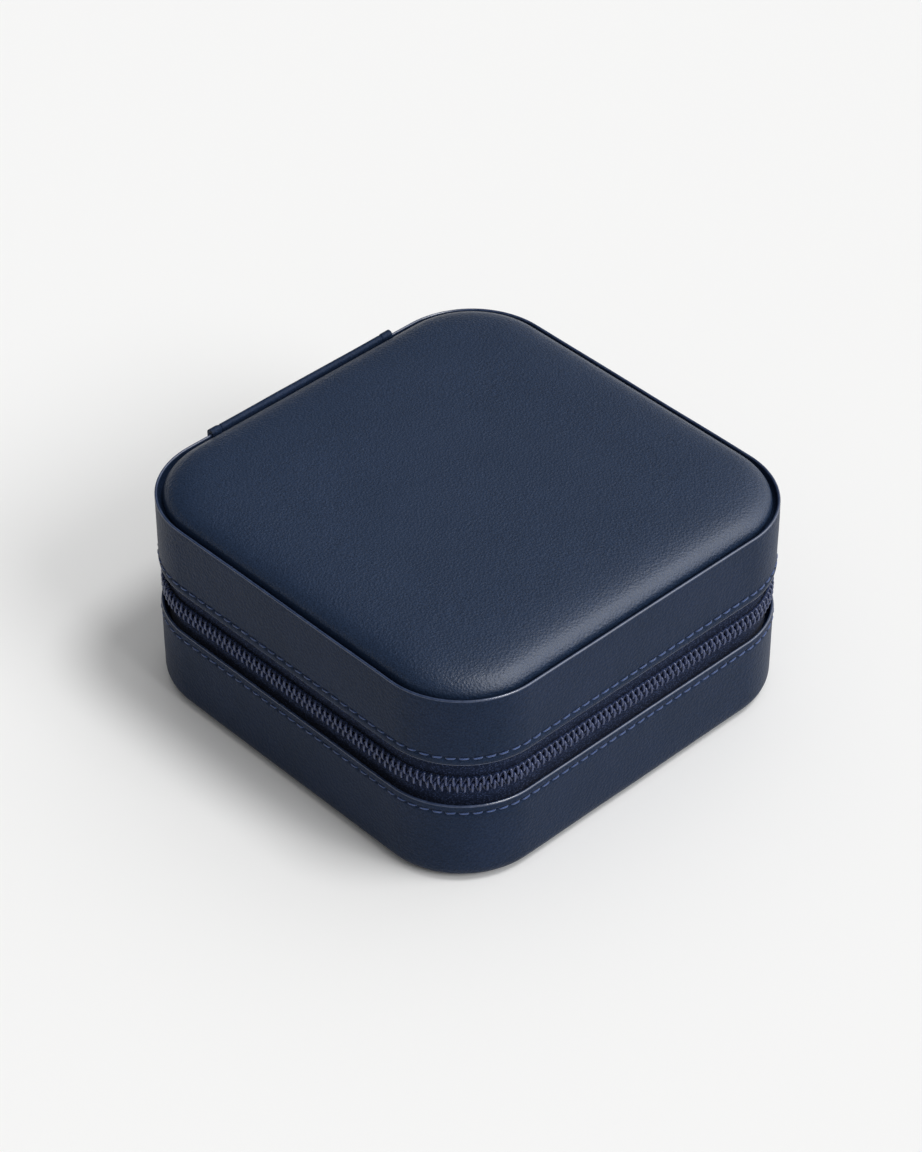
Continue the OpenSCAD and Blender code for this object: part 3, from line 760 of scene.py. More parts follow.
# the padded top
padSet = {"inset": 1.6 * mm, "voxel": 0.8 * mm, "pressure": 1.2, "cap": 0.2 * mm, "even": 40, "soften": 2,
          "finer": 0, "fill": 0.85, "edge": 2.1 * mm, "crown": 5.9 * mm, "round": 2.2 * mm, "power": 0.82}


def outlinePoints(inset, steps=12):
    # the case's outline in plan, at an inset
    points = []
    for quarter in range(4):
        signX, signY = (1 if quarter in (0, 3) else -1), (1 if quarter < 2 else -1)
        for i in range(steps + 1):
            a = math.radians(90 * (quarter + i / steps))
            points.append((signX * sideX / 2 + (cornerR - inset) * math.cos(a),
                           signY * sideY / 2 + (cornerR - inset) * math.sin(a)))
    return points


def stackRings(name, inset, base, rings, first=1):
    # a closed solid in the case's outline, built up from its flat base by rings of (share, height)
    piece = flatFace(name, [(x * first, y * first, base) for x, y in outlinePoints(inset)])
    editAll()
    share, height = first, base
    for newShare, newHeight in rings:
        extrude((0, 0, newHeight - height))
        grow = newShare / share
        bpy.ops.transform.resize(value=(grow, grow, 1), center_override=(0, 0, newHeight))
        share, height = newShare, newHeight
    closeUp()
    return piece


def spread(piece, values, rounds):
    # evens a value out between each point and its neighbours
    near = [[] for _ in values]
    for edge in piece.data.edges:
        a, b = edge.vertices
        near[a].append(b)
        near[b].append(a)
    for _ in range(rounds):
        values = [(value + sum(values[n] for n in ring)) / (1 + len(ring)) for value, ring in zip(values, near)]
    return values


clothSet = {"scale": 10, "quality": 4, "mass": 0.3, "stiff": 25, "bend": 2, "frames": 20}


def puff(piece, look, isHeld):
    # the cover swells as cloth over its filling, and keeps the shape it finds
    makeActive(piece)
    remesh = piece.modifiers.new("voxels", 'REMESH')
    remesh.mode = 'VOXEL'
    remesh.voxel_size = look["voxel"]
    finishModifiers(piece)
    smooth = piece.modifiers.new("even", 'SMOOTH')
    smooth.iterations = look["soften"]
    finishModifiers(piece)
    scale = clothSet["scale"]                  # cloth settings suit big pieces
    rest = [vertex.co.copy() for vertex in piece.data.vertices]
    outward = [vertex.normal.copy() for vertex in piece.data.vertices]
    group = piece.vertex_groups.new(name="held")
    group.add([i for i, co in enumerate(rest) if isHeld(co)], 1, 'REPLACE')
    for vertex in piece.data.vertices:
        vertex.co *= scale
    cloth = piece.modifiers.new("cloth", 'CLOTH')
    settings = cloth.settings
    settings.quality = clothSet["quality"]
    settings.mass = clothSet["mass"]
    settings.tension_stiffness = settings.compression_stiffness = clothSet["stiff"]
    settings.bending_stiffness = clothSet["bend"]
    settings.use_pressure = True
    settings.uniform_pressure_force = look["pressure"]
    settings.vertex_group_mass = "held"
    settings.effector_weights.gravity = 0
    cloth.point_cache.frame_end = clothSet["frames"]
    for step in range(1, clothSet["frames"] + 1):
        bpy.context.scene.frame_set(step)
    finishModifiers(piece)
    bpy.context.scene.frame_set(1)
    swell = [(vertex.co / scale - co).dot(out) for vertex, co, out in zip(piece.data.vertices, rest, outward)]
    swell = spread(piece, swell, look["even"])
    for vertex, co, out, rise in zip(piece.data.vertices, rest, outward, swell):
        vertex.co = co + out * max(rise, 0) * look["cap"] / max(*swell, look["cap"])
    piece.vertex_groups.clear()
    print(piece.name, "swells by", round(max(swell) / mm, 2), "mm at most,",
          round(sum(swell) / len(swell) / mm, 2), "on average")
    if look["finer"]:
        finer = piece.modifiers.new("finer", 'SUBSURF')
        finer.levels = finer.render_levels = look["finer"]
        finishModifiers(piece)


def makePad():
    low = padLow
    rise = crownTop - low
    reach = caseW / 2 - padSet["inset"]
    edge, crown = padSet["edge"], padSet["crown"]
    rings = [(1, low + edge * share) for share in (0.3, 0.65, 1)]
    for i in range(22):                                # steep at the edge, and rounding off towards the middle
        extra = 0.03 * mm * 1.4 ** i
        bend = 1 - math.exp(-(extra / padSet["round"]) ** padSet["power"])
        rings.append((1 - extra / reach, low + edge + (crown - edge) * bend))
    pad = stackRings("paddedTop", padSet["inset"], low + 0.05 * mm, rings)
    puff(pad, padSet, lambda co: co.z < low + 1.8 * mm)
    for vertex in pad.data.vertices:
        co = vertex.co
        lift = smoothStep((co.z - low - 0.5 * rise) / (0.3 * rise))
        ripple = noise.noise(Vector((co.x / (26 * mm), co.y / (26 * mm), 2.7)))
        co.z += lift * 0.09 * mm * ripple
    settle(pad, 180)
    # the padded top gets the lighter copy of the leather: painted light on the top
    dress(pad, litTopLeather, "lid")
    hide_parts("lid_top_skin")


makePad()
print("padded top ready")


# the zip's tapes
zipSet = {"drop": 0.3 * mm, "tapeGap": 0.7 * mm, "open": 0.5 * mm, "openRun": 7 * mm, "tapeT": 0.6 * mm,
          "backGap": 23.8 * mm,
          "endRun": 27.2 * mm}
chainZ = zipZ - zipSet["drop"]
sliderRun = runAt(Vector((caseW / 2, sliderY, 0)))[0]


def openShift(run):
    # how far a row and its tape draw back from the chain's middle, behind the slider
    return zipSet["open"] * smoothStep((run - sliderRun) / zipSet["openRun"])


def makeTapePiece(name, node, body, way):
    low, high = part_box(node)
    outer = bandT
    inner = outer + zipSet["tapeT"]
    far = low.z if way < 0 else high.z
    near = chainZ + way * zipSet["tapeGap"] / 2
    steps = 9
    heights = [far + (near - far) * i / steps for i in range(steps + 1)]
    profile = [(outer, z) for z in heights] + [(inner, z) for z in reversed(heights)]
    tape = sweep(name, profile, cornerSteps=30, sideCell=1.0 * mm, gap=zipSet["backGap"])
    runMap(tape)
    for vertex in tape.data.vertices:
        run, out = runAt(vertex.co)
        toEdge = smoothStep((way * (chainZ - vertex.co.z) + 5 * mm) / (5 * mm))
        vertex.co.z += way * openShift(run) * toEdge
        vertex.co += out * 0.05 * mm * noise.noise(Vector((run / (9 * mm), vertex.co.z / (4 * mm), way)))
    settle(tape, 40)
    dress(tape, tapeWeave, body)
    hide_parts(node)


makeTapePiece("baseTape", "base_zip_tape", "base", -1)
makeTapePiece("lidTape", "lid_zip_tape", "lid", 1)
print("zip tapes ready")


# the coil chain
coilShape = {"pitch": 1.5 * mm, "wire": 0.26 * mm, "headSwell": 1.15, "row": 0.82 * mm, "reach": 0.98 * mm,
             "depth": 0.42 * mm, "inset": 0.86 * mm, "upright": 0.98, "points": 14, "sides": 7,
             "cordIn": 1.3 * mm, "cordDeep": 0.25 * mm, "cordHigh": 0.62 * mm, "cordAt": 1.02 * mm}


def wireAlong(name, points, radius, sides, across, capped=True):
    # a round wire: a straight rod cut into rings, each ring moved to its place on the path
    clearSelection()
    count = len(points) - 1
    bpy.ops.mesh.primitive_cylinder_add(vertices=sides, radius=1, depth=count, location=(0, 0, 0),
                                        end_fill_type='NGON' if capped else 'NOTHING')
    wire = bpy.context.object
    wire.name = name
    bpy.ops.object.mode_set(mode='EDIT')
    pick(wire, 'EDGE', lambda a, b: abs(a.z - b.z) > count / 2)
    bpy.ops.mesh.subdivide(number_cuts=count - 1)
    bpy.ops.object.mode_set(mode='OBJECT')
    frames = []
    for k in range(count + 1):
        before, after = points[max(k - 1, 0)], points[min(k + 1, count)]
        if not capped and k in (0, count):
            before, after = points[count - 1] - (points[count] - points[0]), points[1]
        along = (after - before).normalized()
        side = across.cross(along).normalized()
        frames.append((side, along.cross(side)))
    for vertex in wire.data.vertices:
        k = round(vertex.co.z + count / 2)
        size = radius(k / count) if callable(radius) else radius
        side, up = frames[k]
        vertex.co = points[k] + (side * vertex.co.x + up * vertex.co.y) * size
    return wire


def makeCoilRow(name, node, body, way):
    # one turn of the coil, repeated along the chain and then bent round the case
    look = coilShape
    pitch, turn = look["pitch"], 2 * math.pi
    points = []
    for k in range(look["points"] + 1):
        t = turn * k / look["points"]
        points.append(Vector((pitch * (t - look["upright"] * (math.cos(t) - 1)) / turn,
                              look["inset"] + look["depth"] * math.sin(t),
                              way * (look["row"] - look["reach"] * math.cos(t)))))
    swell = lambda share: look["wire"] * (1 + (look["headSwell"] - 1) * max(0, math.cos(turn * share)) ** 3)
    row = wireAlong(name, points, swell, sides=look["sides"], capped=False, across=Vector((1, 0, 0)))
    endRun = wayRound / 2 - zipSet["endRun"]
    count = int(2 * endRun / pitch)
    makeActive(row)
    copies = row.modifiers.new("turns", 'ARRAY')
    copies.count = count
    copies.use_relative_offset = False
    copies.use_constant_offset = True
    copies.constant_offset_displace = (pitch, 0, 0)
    copies.use_merge_vertices = True
    copies.merge_threshold = 0.01 * mm
    finishModifiers(row)
    bpy.ops.object.mode_set(mode='EDIT')
    bpy.ops.mesh.select_all(action='DESELECT')
    bpy.ops.mesh.select_mode(type='EDGE')
    bpy.ops.mesh.select_non_manifold(extend=False)
    bpy.ops.mesh.edge_face_add()
    closeUp()
    shift = -endRun + (0 if way > 0 else pitch / 2)
    for vertex in row.data.vertices:
        run = vertex.co.x + shift
        place, out = wallPoint(run, vertex.co.y)
        vertex.co = place + Vector((0, 0, chainZ + vertex.co.z + way * openShift(run)))
    settle(row, 70)
    dress(row, coilNylon, body)
    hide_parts(node)


def makeCoilCord(name, body, way):
    # the knitted cord inside each row, which the coil is sewn round
    look = coilShape
    turns = [2 * math.pi * k / 12 for k in range(12)]
    profile = [(look["cordIn"] + look["cordDeep"] * math.cos(a),
                chainZ + way * look["cordAt"] + look["cordHigh"] * math.sin(a)) for a in turns]
    cord = sweep(name, profile, cornerSteps=20, sideCell=2 * mm, gap=zipSet["endRun"] + 0.3 * mm)
    runMap(cord)
    for vertex in cord.data.vertices:
        vertex.co.z += way * openShift(runAt(vertex.co)[0])
    settle(cord, 60)
    dress(cord, tapeWeave, body)


makeCoilRow("baseCoil", "base_zip_teeth", "base", -1)
makeCoilRow("lidCoil", "lid_zip_teeth", "lid", 1)
makeCoilCord("baseCoilCord", "base", -1)
makeCoilCord("lidCoilCord", "lid", 1)
print("coil chain ready")


# hinge strip and its lining
stripSet = {"hemRise": 0.10 * mm, "notch": 0.22 * mm, "foldIn": 0.02 * mm,
            "tuck": 1.5 * mm, "cell": 1.1 * mm}
stripLow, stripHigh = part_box("hinge_strip_lower")
stripT = stripHigh.y - caseD / 2
stripHalf = stripHigh.x
liningLow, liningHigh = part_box("hinge_lining_lower")
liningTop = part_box("hinge_lining_upper")[1].z


def stripPath(low, top, out):
    # (inset, height) up the outer face, over the rim and down into the groove
    look = stripSet
    count = round((top - low) / look["cell"])
    path = [(-out, low + (top - low) * i / count) for i in range(count)]
    path += arc(look["foldIn"], top, look["foldIn"] + out, 180, 0, 14)
    path += [(look["foldIn"] * 2 + out, top - look["tuck"] * i / 3) for i in (1, 2, 3)]
    return path


def sheetAlong(name, across, path):
    # a strip on the back wall: a grid laid on the path
    clearSelection()
    bpy.ops.mesh.primitive_grid_add(x_subdivisions=len(across) - 1, y_subdivisions=len(path) - 1, size=1,
                                    location=(0, 0, 0))
    piece = bpy.context.object
    piece.name = name
    for index, vertex in enumerate(piece.data.vertices):
        row, column = divmod(index, len(across))
        inset, height = path[row]
        vertex.co = (across[column], caseD / 2 - inset, height)
    makeActive(piece)
    editAll()
    bpy.ops.mesh.flip_normals()
    bpy.ops.object.mode_set(mode='OBJECT')
    return piece


def thicken(piece, thick, bevel=0.0):
    makeActive(piece)
    solid = piece.modifiers.new("thickness", 'SOLIDIFY')
    solid.thickness = thick
    solid.offset = -1
    if bevel:
        edge = piece.modifiers.new("edges", 'BEVEL')
        edge.width = bevel
        edge.segments = 2
        edge.limit_method = 'ANGLE'
        edge.angle_limit = math.radians(60)
    finishModifiers(piece)


def makeHingeStrip():
    look = stripSet
    ends = [0, 0.12, 0.4, 0.9, 1.25, 1.6, 2.1, 2.38, 2.52, 2.62, 2.72, 2.86, 3.2, 4.0]
    half = [stripHalf - e * mm for e in ends]
    middle = round((half[-1] - 1 * mm) / (1.6 * mm))
    half += [half[-1] * (1 - i / middle) for i in range(1, middle + 1)]
    across = [-x for x in half[:-1]] + list(reversed(half))
    top = rimTop - look["foldIn"] + 0.1 * mm
    path = stripPath(stripLow.z + 0.3 * mm, top, stripT)
    strip = sheetAlong("hingeStrip", across, path)
    strip.data.update()
    normals = [vertex.normal.copy() for vertex in strip.data.vertices]
    for vertex, normal in zip(strip.data.vertices, normals):
        fromEnd = (stripHalf - abs(vertex.co.x)) / mm
        hem = smoothStep((2.5 - fromEnd) / 0.35) * look["hemRise"]
        notch = max(0, 1 - abs(fromEnd - 2.68) / 0.22) * look["notch"]
        seam = max(0, 1 - abs(fromEnd - 1.25) / 0.3) * 0.12 * mm if vertex.co.z < rimTop - 2 * mm else 0
        wave = noise.noise(Vector((vertex.co.x / (12 * mm), vertex.co.z / (9 * mm), 5.1))) * 0.06 * mm
        vertex.co += normal * (hem - notch - seam + wave)
    thicken(strip, stripT - 0.06 * mm, 0.12 * mm)
    settle(strip, 50)
    dress(strip, leather)
    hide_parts("hinge_strip_lower", "hinge_strip_upper")
    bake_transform(strip)


def makeHingeLining():
    half = liningHigh.x
    across = [half * (i / 20 - 1) for i in range(41)]
    count = 24
    path = [(caseD / 2 - liningHigh.y, liningLow.z + (liningTop - liningLow.z) * i / count)
            for i in range(count + 1)]
    lining = sheetAlong("hingeLining", across, path)
    for vertex in lining.data.vertices:
        vertex.co.y -= 0.05 * mm * (1 + noise.noise(Vector((vertex.co.x / (8 * mm), vertex.co.z / (6 * mm), 1.3))))
    thicken(lining, liningHigh.y - liningLow.y - 0.1 * mm, 0.1 * mm)
    settle(lining, 50)
    dress(lining, velvet)
    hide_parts("hinge_lining_lower", "hinge_lining_upper")
    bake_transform(lining)


makeHingeStrip()
makeHingeLining()
print("hinge strip ready")

# slider and pull
sliderSet = {"nose": 6.2 * mm, "tail": 5.2 * mm, "plate": 0.9 * mm, "round": 0.18 * mm, "flange": 0.9 * mm,
             "bailWire": 0.5 * mm, "bailFoot": 2.1 * mm, "bailCorner": 0.8 * mm, "postWide": 0.3 * mm}
pullLow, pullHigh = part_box("pull_tab")
pinX = (pullLow.x + pullHigh.x) / 2


def insetSteps(steps):
    # the selected faces are inset and raised in turn
    for inset, rise in steps:
        bpy.ops.mesh.inset(thickness=inset, depth=rise, use_even_offset=True)


def makePlate(name, depth, thick, outward):
    look = sliderSet
    half = (sliderHigh.y - sliderLow.y) / 2
    outline = []
    for i in range(36):
        a = 2 * math.pi * i / 36
        c, s = math.cos(a), math.sin(a)
        y = half * math.copysign(abs(c) ** 0.62, c)
        wide = look["tail"] + (look["nose"] - look["tail"]) * smoothStep((y / half + 1) / 2 + 0.15)
        outline.append((sliderY + y, zipZ + wide / 2 * math.copysign(abs(s) ** 0.55, s)))
    plate = flatFace(name, [(depth, y, z) for y, z in outline])
    editAll()
    r, sign = look["round"], 1 if outward else -1
    extrude((sign * (thick - r), 0, 0))
    for share, rise in ((0.97, 0.65 * r), (0.93, 0.35 * r), (0.72, 0.10 * r), (0.4, 0.06 * r)):
        extrude((sign * rise, 0, 0))
        bpy.ops.transform.resize(value=(1, share, share), center_override=(0, sliderY, zipZ))
    closeUp()
    return plate


def makeBlock(name, low, high, bevel, segments=3):
    # a small block between two corners, its edges rounded
    clearSelection()
    middle = [(a + b) / 2 for a, b in zip(low, high)]
    bpy.ops.mesh.primitive_cube_add(size=1, location=middle)
    block = bpy.context.object
    block.name = name
    block.scale = [b - a for a, b in zip(low, high)]
    bpy.ops.object.transform_apply(location=True, rotation=True, scale=True)
    editAll()
    bpy.ops.mesh.bevel(offset=bevel, segments=segments, affect='EDGES')
    bpy.ops.object.mode_set(mode='OBJECT')
    return block


def makeSlider():
    look = sliderSet
    faceX = caseW / 2 - 0.1 * mm
    innerX = caseW / 2 - 2.4 * mm
    pieces = [makePlate("sliderFace", faceX, look["plate"], True),
              makePlate("sliderBack", innerX, look["plate"], False)]
    for way in (-1, 1):                            # the side flanges, which hold the rows together
        z0, z1 = zipZ + way * 2.42 * mm, zipZ + way * 2.98 * mm
        pieces.append(makeBlock("flange", (faceX - look["flange"], sliderLow.y + 1.1 * mm, min(z0, z1)),
                                (faceX + 0.3 * mm, sliderHigh.y - 1.3 * mm, max(z0, z1)), 0.18 * mm))
    postLow = (innerX - 0.2 * mm, sliderY + 0.9 * mm, zipZ - look["postWide"] / 2 - zipSet["drop"])
    postHigh = (faceX + 0.2 * mm, sliderY + 3.0 * mm, zipZ + look["postWide"] / 2 - zipSet["drop"])
    pieces.append(makeBlock("post", postLow, postHigh, 0.08 * mm))
    r, foot = look["bailCorner"], look["bailFoot"]
    path = [Vector((faceX + 0.5 * mm, sliderY - foot, zipZ)), Vector((pinX - r, sliderY - foot, zipZ))]
    path += [Vector((pinX - r + r * math.sin(a), sliderY - foot + r - r * math.cos(a), zipZ))
             for a in (math.radians(18 * k) for k in range(1, 6))]
    path += [Vector((p.x, 2 * sliderY - p.y, p.z)) for p in reversed(path)]
    bail = wireAlong("bail", path, look["bailWire"], sides=14, across=Vector((0, 0, 1)))
    pieces.append(bail)
    for way in (-1, 1):                            # the bail's feet, swelled where they meet the face
        clearSelection()
        bpy.ops.mesh.primitive_cone_add(vertices=18, radius1=0.85 * mm, radius2=0.52 * mm, depth=0.6 * mm,
                                        location=(faceX + look["plate"] + 0.22 * mm, sliderY + way * foot, zipZ),
                                        rotation=(0, math.pi / 2, 0))
        pieces.append(bpy.context.object)
    slider = joinAll(pieces, "zipSlider")
    settle(slider, 35)
    dress(slider, nickel, "slider")
    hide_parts("slider_body")


pullSet = {"eyeR": 2.25 * mm, "hole": 1.25 * mm, "neck": 1.75 * mm, "cornerR": 1.6 * mm,
           "recess": 0.2 * mm}


def makePull():
    look = pullSet
    wide, long = (pullHigh.y - pullLow.y) / 2, zipZ - pullLow.z
    thick = pullHigh.x - pullLow.x
    outline = [(look["eyeR"] * math.cos(a), look["eyeR"] * math.sin(a))
               for a in (math.radians(-35 + 250 * k / 20) for k in range(21))]
    outline += [(-look["neck"], -2.6 * mm), (-look["neck"] - 0.12 * mm, -3.6 * mm), (-wide + 0.15 * mm, -5.4 * mm),
                (-wide, -6.6 * mm)]
    r = look["cornerR"]
    outline += [(-wide + r - r * math.cos(a), -long + r - r * math.sin(a))
                for a in (math.radians(15 * k) for k in range(7))]
    outline += [(wide - r + r * math.sin(a), -long + r - r * math.cos(a))
                for a in (math.radians(15 * k) for k in range(7))]
    outline += [(wide, -6.6 * mm), (wide - 0.15 * mm, -5.4 * mm), (look["neck"] + 0.12 * mm, -3.6 * mm),
                (look["neck"], -2.6 * mm)]
    pull = flatFace("pullTab", [(pinX, sliderY + y, zipZ + z) for y, z in outline])
    editAll()
    half = thick / 2
    extrude((half - 0.18 * mm, 0, 0))
    insetSteps([(0.14 * mm, 0.14 * mm), (0.3 * mm, 0.03 * mm), (0.16 * mm, -look["recess"]),
                (0.5 * mm, -0.02 * mm)])
    bpy.ops.mesh.select_all(action='SELECT')
    bpy.ops.mesh.normals_make_consistent(inside=False)
    bpy.ops.mesh.select_all(action='DESELECT')
    bpy.ops.object.mode_set(mode='OBJECT')
    for vertex in pull.data.vertices:              # both faces are alike
        vertex.co.x -= pinX
    mirror = pull.modifiers.new("bothFaces", 'MIRROR')
    mirror.use_axis = (True, False, False)
    mirror.use_bisect_axis = (True, False, False)
    mirror.merge_threshold = 0.005 * mm
    finishModifiers(pull)
    bpy.ops.object.mode_set(mode='EDIT')
    pick(pull, 'FACE', lambda centre, normal: abs(centre.x) < 0.01 * mm)
    bpy.ops.mesh.delete(type='FACE')
    bpy.ops.mesh.select_all(action='SELECT')
    bpy.ops.mesh.remove_doubles(threshold=0.005 * mm)
    bpy.ops.mesh.normals_make_consistent(inside=False)
    bpy.ops.object.mode_set(mode='OBJECT')
    for vertex in pull.data.vertices:
        vertex.co.x += pinX
    clearSelection()
    bpy.ops.mesh.primitive_cylinder_add(vertices=28, radius=look["hole"], depth=4 * mm,
                                        location=(pinX, sliderY, zipZ), rotation=(0, math.pi / 2, 0))
    drill = bpy.context.object
    cut = pull.modifiers.new("eye", 'BOOLEAN')
    cut.operation = 'DIFFERENCE'
    cut.object = drill
    cut.solver = 'EXACT'
    finishModifiers(pull)
    bpy.data.objects.remove(drill)
    settle(pull, 35)
    dress(pull, nickel, "pull")
    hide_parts("pull_tab")


makeSlider()
makePull()
print("slider and pull ready")


# the tray in the base
traySet = {"boardEdge": 0.62 * mm, "soft": 0.10 * mm, "cover": 2.3 * mm, "rollShrink": 0.3 * mm}
trayWallLow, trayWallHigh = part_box("tray_wall")
floorLow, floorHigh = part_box("tray_floor_lining")
trayOuter = caseW / 2 - trayWallHigh.x
trayInner = caseW / 2 - floorHigh.x


def soften(piece, amount, size):
    # the slight unevenness of cloth over a board
    piece.data.update()
    normals = [vertex.normal.copy() for vertex in piece.data.vertices]
    for vertex, normal in zip(piece.data.vertices, normals):
        vertex.co -= normal * amount * (0.5 + 0.5 * noise.noise(vertex.co / size))


def makeTrayWall():
    r = (trayInner - trayOuter) / 2
    low, top = trayWallLow.z + 0.05 * mm, trayWallHigh.z
    inner = [(trayInner, top - r - (top - r - low) * k / 8) for k in range(1, 9)]
    boardTop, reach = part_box("base_wall_board")[1].z, traySet["cover"]
    outer = [(trayOuter + 0.02 * mm, low), (trayOuter + 0.02 * mm, boardTop + 0.02 * mm),
             (reach, boardTop + 0.02 * mm), (reach, boardTop + 0.22 * mm), (reach + 0.9 * mm, boardTop + 0.34 * mm),
             (trayOuter - 0.25 * mm, boardTop + 0.5 * mm), (trayOuter, boardTop + 0.9 * mm)]
    profile = outer + arc(trayOuter + r, top - r, r, 180, 0, 8) + inner
    wall = sweep("trayWall", profile, cornerSteps=24, sideCell=2.2 * mm)
    soften(wall, traySet["soft"], 9 * mm)
    settle(wall, 60)
    dress(wall, velvet, "base")
    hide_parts("tray_wall")


def makeTrayFloor():
    reach = caseW / 2 - trayInner
    low, top = floorLow.z, floorHigh.z
    rings = [(1, top - 0.25 * mm), (1 - 0.15 * mm / reach, top - 0.08 * mm), (1 - 0.4 * mm / reach, top)]
    floorPiece = stackRings("trayFloor", trayInner + 0.05 * mm, low, rings + [(0.8, top), (0.5, top), (0.2, top)])
    settle(floorPiece, 40)
    dress(floorPiece, velvet, "base")
    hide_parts("tray_floor_lining")


def makeLinedBoard(name, node, body, lengthAxis):
    # a board wrapped in velvet, its top edge rounded
    low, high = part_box(node)
    thick = min(high.x - low.x, high.y - low.y)
    wrapped = makeBlock(name, low, high, min(traySet["boardEdge"], thick * 0.42), 4)
    longest = max(high.x - low.x, high.y - low.y)
    bpy.ops.object.mode_set(mode='EDIT')
    pick(wrapped, 'EDGE', lambda a, b: abs(a[lengthAxis] - b[lengthAxis]) > longest * 0.7)
    bpy.ops.mesh.subdivide(number_cuts=int(longest / (3 * mm)))
    pick(wrapped, 'EDGE', lambda a, b: abs(a.z - b.z) > (high.z - low.z) * 0.6)
    bpy.ops.mesh.subdivide(number_cuts=5)
    bpy.ops.object.mode_set(mode='OBJECT')
    soften(wrapped, traySet["soft"], 7 * mm)
    settle(wrapped, 60)
    dress(wrapped, velvet, body)
    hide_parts(node)


def insideTray(x, y, gap):
    # how deep a point lies inside the tray's rounded outline, less a gap
    r = cornerR - trayInner
    dx, dy = abs(x) - sideX / 2, abs(y) - sideY / 2
    if dx > 0 and dy > 0:
        return r - math.hypot(dx, dy) - gap
    return min(caseW / 2 - trayInner - abs(x), caseD / 2 - trayInner - abs(y)) - gap


rollPad = {"voxel": 0.9 * mm, "pressure": 1.0, "cap": 0.25 * mm, "even": 6, "soften": 4, "finer": 1,
           "fill": 0.7}


def makeRoll(number):
    # a stuffed roll: a rod with a rounded top, cut back at its ends to the tray's corners
    low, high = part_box("ring_roll_%d" % number)
    shrink = traySet["rollShrink"]
    r = (high.x - low.x) / 2 - shrink / 2
    centreX, long = (low.x + high.x) / 2, (high.y - low.y) / 2 - 0.05 * mm
    clearSelection()
    bpy.ops.mesh.primitive_cylinder_add(vertices=32, radius=r, depth=2 * long, location=(0, 0, 0),
                                        end_fill_type='NGON', rotation=(math.pi / 2, 0, 0))
    roll = bpy.context.object
    roll.name = "ringRoll%d" % number
    bpy.ops.object.transform_apply(location=False, rotation=True, scale=False)
    bpy.ops.object.mode_set(mode='EDIT')
    pick(roll, 'EDGE', lambda a, b: abs(a.y - b.y) > long)
    bpy.ops.mesh.subdivide(number_cuts=60)
    bpy.ops.object.mode_set(mode='OBJECT')
    top = high.z - shrink / 2
    for vertex in roll.data.vertices:
        co = vertex.co
        share = co.y / long
        fade = 1 - 0.10 * smoothStep((abs(share) - 0.9) / 0.1)
        x, up = co.x * fade, co.z * fade
        if up < 0:                                 # the sides go straight down to the floor
            flat = low.z + 0.02 * mm
            up = max(-1, 1.2 * up / (r * fade)) * (top - r - flat)
            x = math.copysign(r * fade * (abs(co.x) / r) ** 0.3, x) if abs(co.x) > 1e-6 else 0
        y = co.y
        while insideTray(centreX + x, y, 0.12 * mm) < 0 and abs(y) > 1 * mm:
            y -= math.copysign(0.1 * mm, y)
        vertex.co = (centreX + x, y, top - r + up)
    puff(roll, rollPad, lambda co: co.z < low.z + 4 * mm)
    for vertex in roll.data.vertices:
        co = vertex.co
        co.x = min(max(co.x, low.x), high.x)
        co.z = min(max(co.z, low.z), high.z)
    settle(roll, 180)
    dress(roll, velvet, "base")
    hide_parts("ring_roll_%d" % number)


makeTrayWall()
makeTrayFloor()
makeLinedBoard("ringPartition", "ring_partition", "base", 1)
makeLinedBoard("dividerFront", "divider_front", "divider_front", 0)
makeLinedBoard("dividerRear", "divider_rear", "divider_rear", 0)
for rollNumber in (1, 2, 3, 4):
    makeRoll(rollNumber)
print("tray ready")


# the lining of the lid
lidWallLow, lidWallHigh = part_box("lid_wall_lining")
panelLow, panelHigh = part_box("lid_panel")
pocketLow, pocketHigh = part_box("lid_pocket")
elasticLow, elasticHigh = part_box("pocket_elastic")
pocketSet = {"gathers": 19, "depth": 0.42 * mm, "thick": 0.35 * mm, "belly": 0.5 * mm}
elasticSet = {"ruches": 58, "ruche": 0.16 * mm}


def makeLidWall():
    outer, inner = caseW / 2 - lidWallHigh.x, caseW / 2 - panelHigh.x
    r = (inner - outer) / 2
    low, top = lidWallLow.z, lidWallHigh.z
    heights = [(inner, low + r + (top - low - r) * k / 6) for k in range(1, 7)]
    reach = traySet["cover"]                       # the cloth also covers the edge of the wall board
    cover = [(reach, low - 0.02 * mm), (reach, low - 0.18 * mm), (reach + 0.9 * mm, low - 0.24 * mm),
             (outer, low - 0.2 * mm)]
    profile = cover + arc(outer + r, low + r - 0.1 * mm, r, 250, 360, 6) + heights + [(outer, top)]
    wall = sweep("lidWallLining", profile, cornerSteps=24, sideCell=2.2 * mm)
    soften(wall, traySet["soft"] * 0.8, 9 * mm)
    settle(wall, 60)
    dress(wall, velvet, "lid")
    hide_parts("lid_wall_lining")


def makeLidPanel():
    inset = caseW / 2 - panelHigh.x + 0.03 * mm
    reach = caseW / 2 - inset
    low, top = panelLow.z, panelHigh.z
    rings = [(0.5, low), (0.75, low), (1 - 2.2 * mm / reach, low), (1 - 1.1 * mm / reach, low + 0.06 * mm),
             (1 - 0.45 * mm / reach, low + 0.26 * mm), (1 - 0.1 * mm / reach, low + 0.6 * mm),
             (1, low + 0.95 * mm), (1, top)]
    panel = stackRings("lidPanel", inset, low, rings, first=0.2)
    settle(panel, 60)
    dress(panel, velvet, "lid")
    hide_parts("lid_panel")


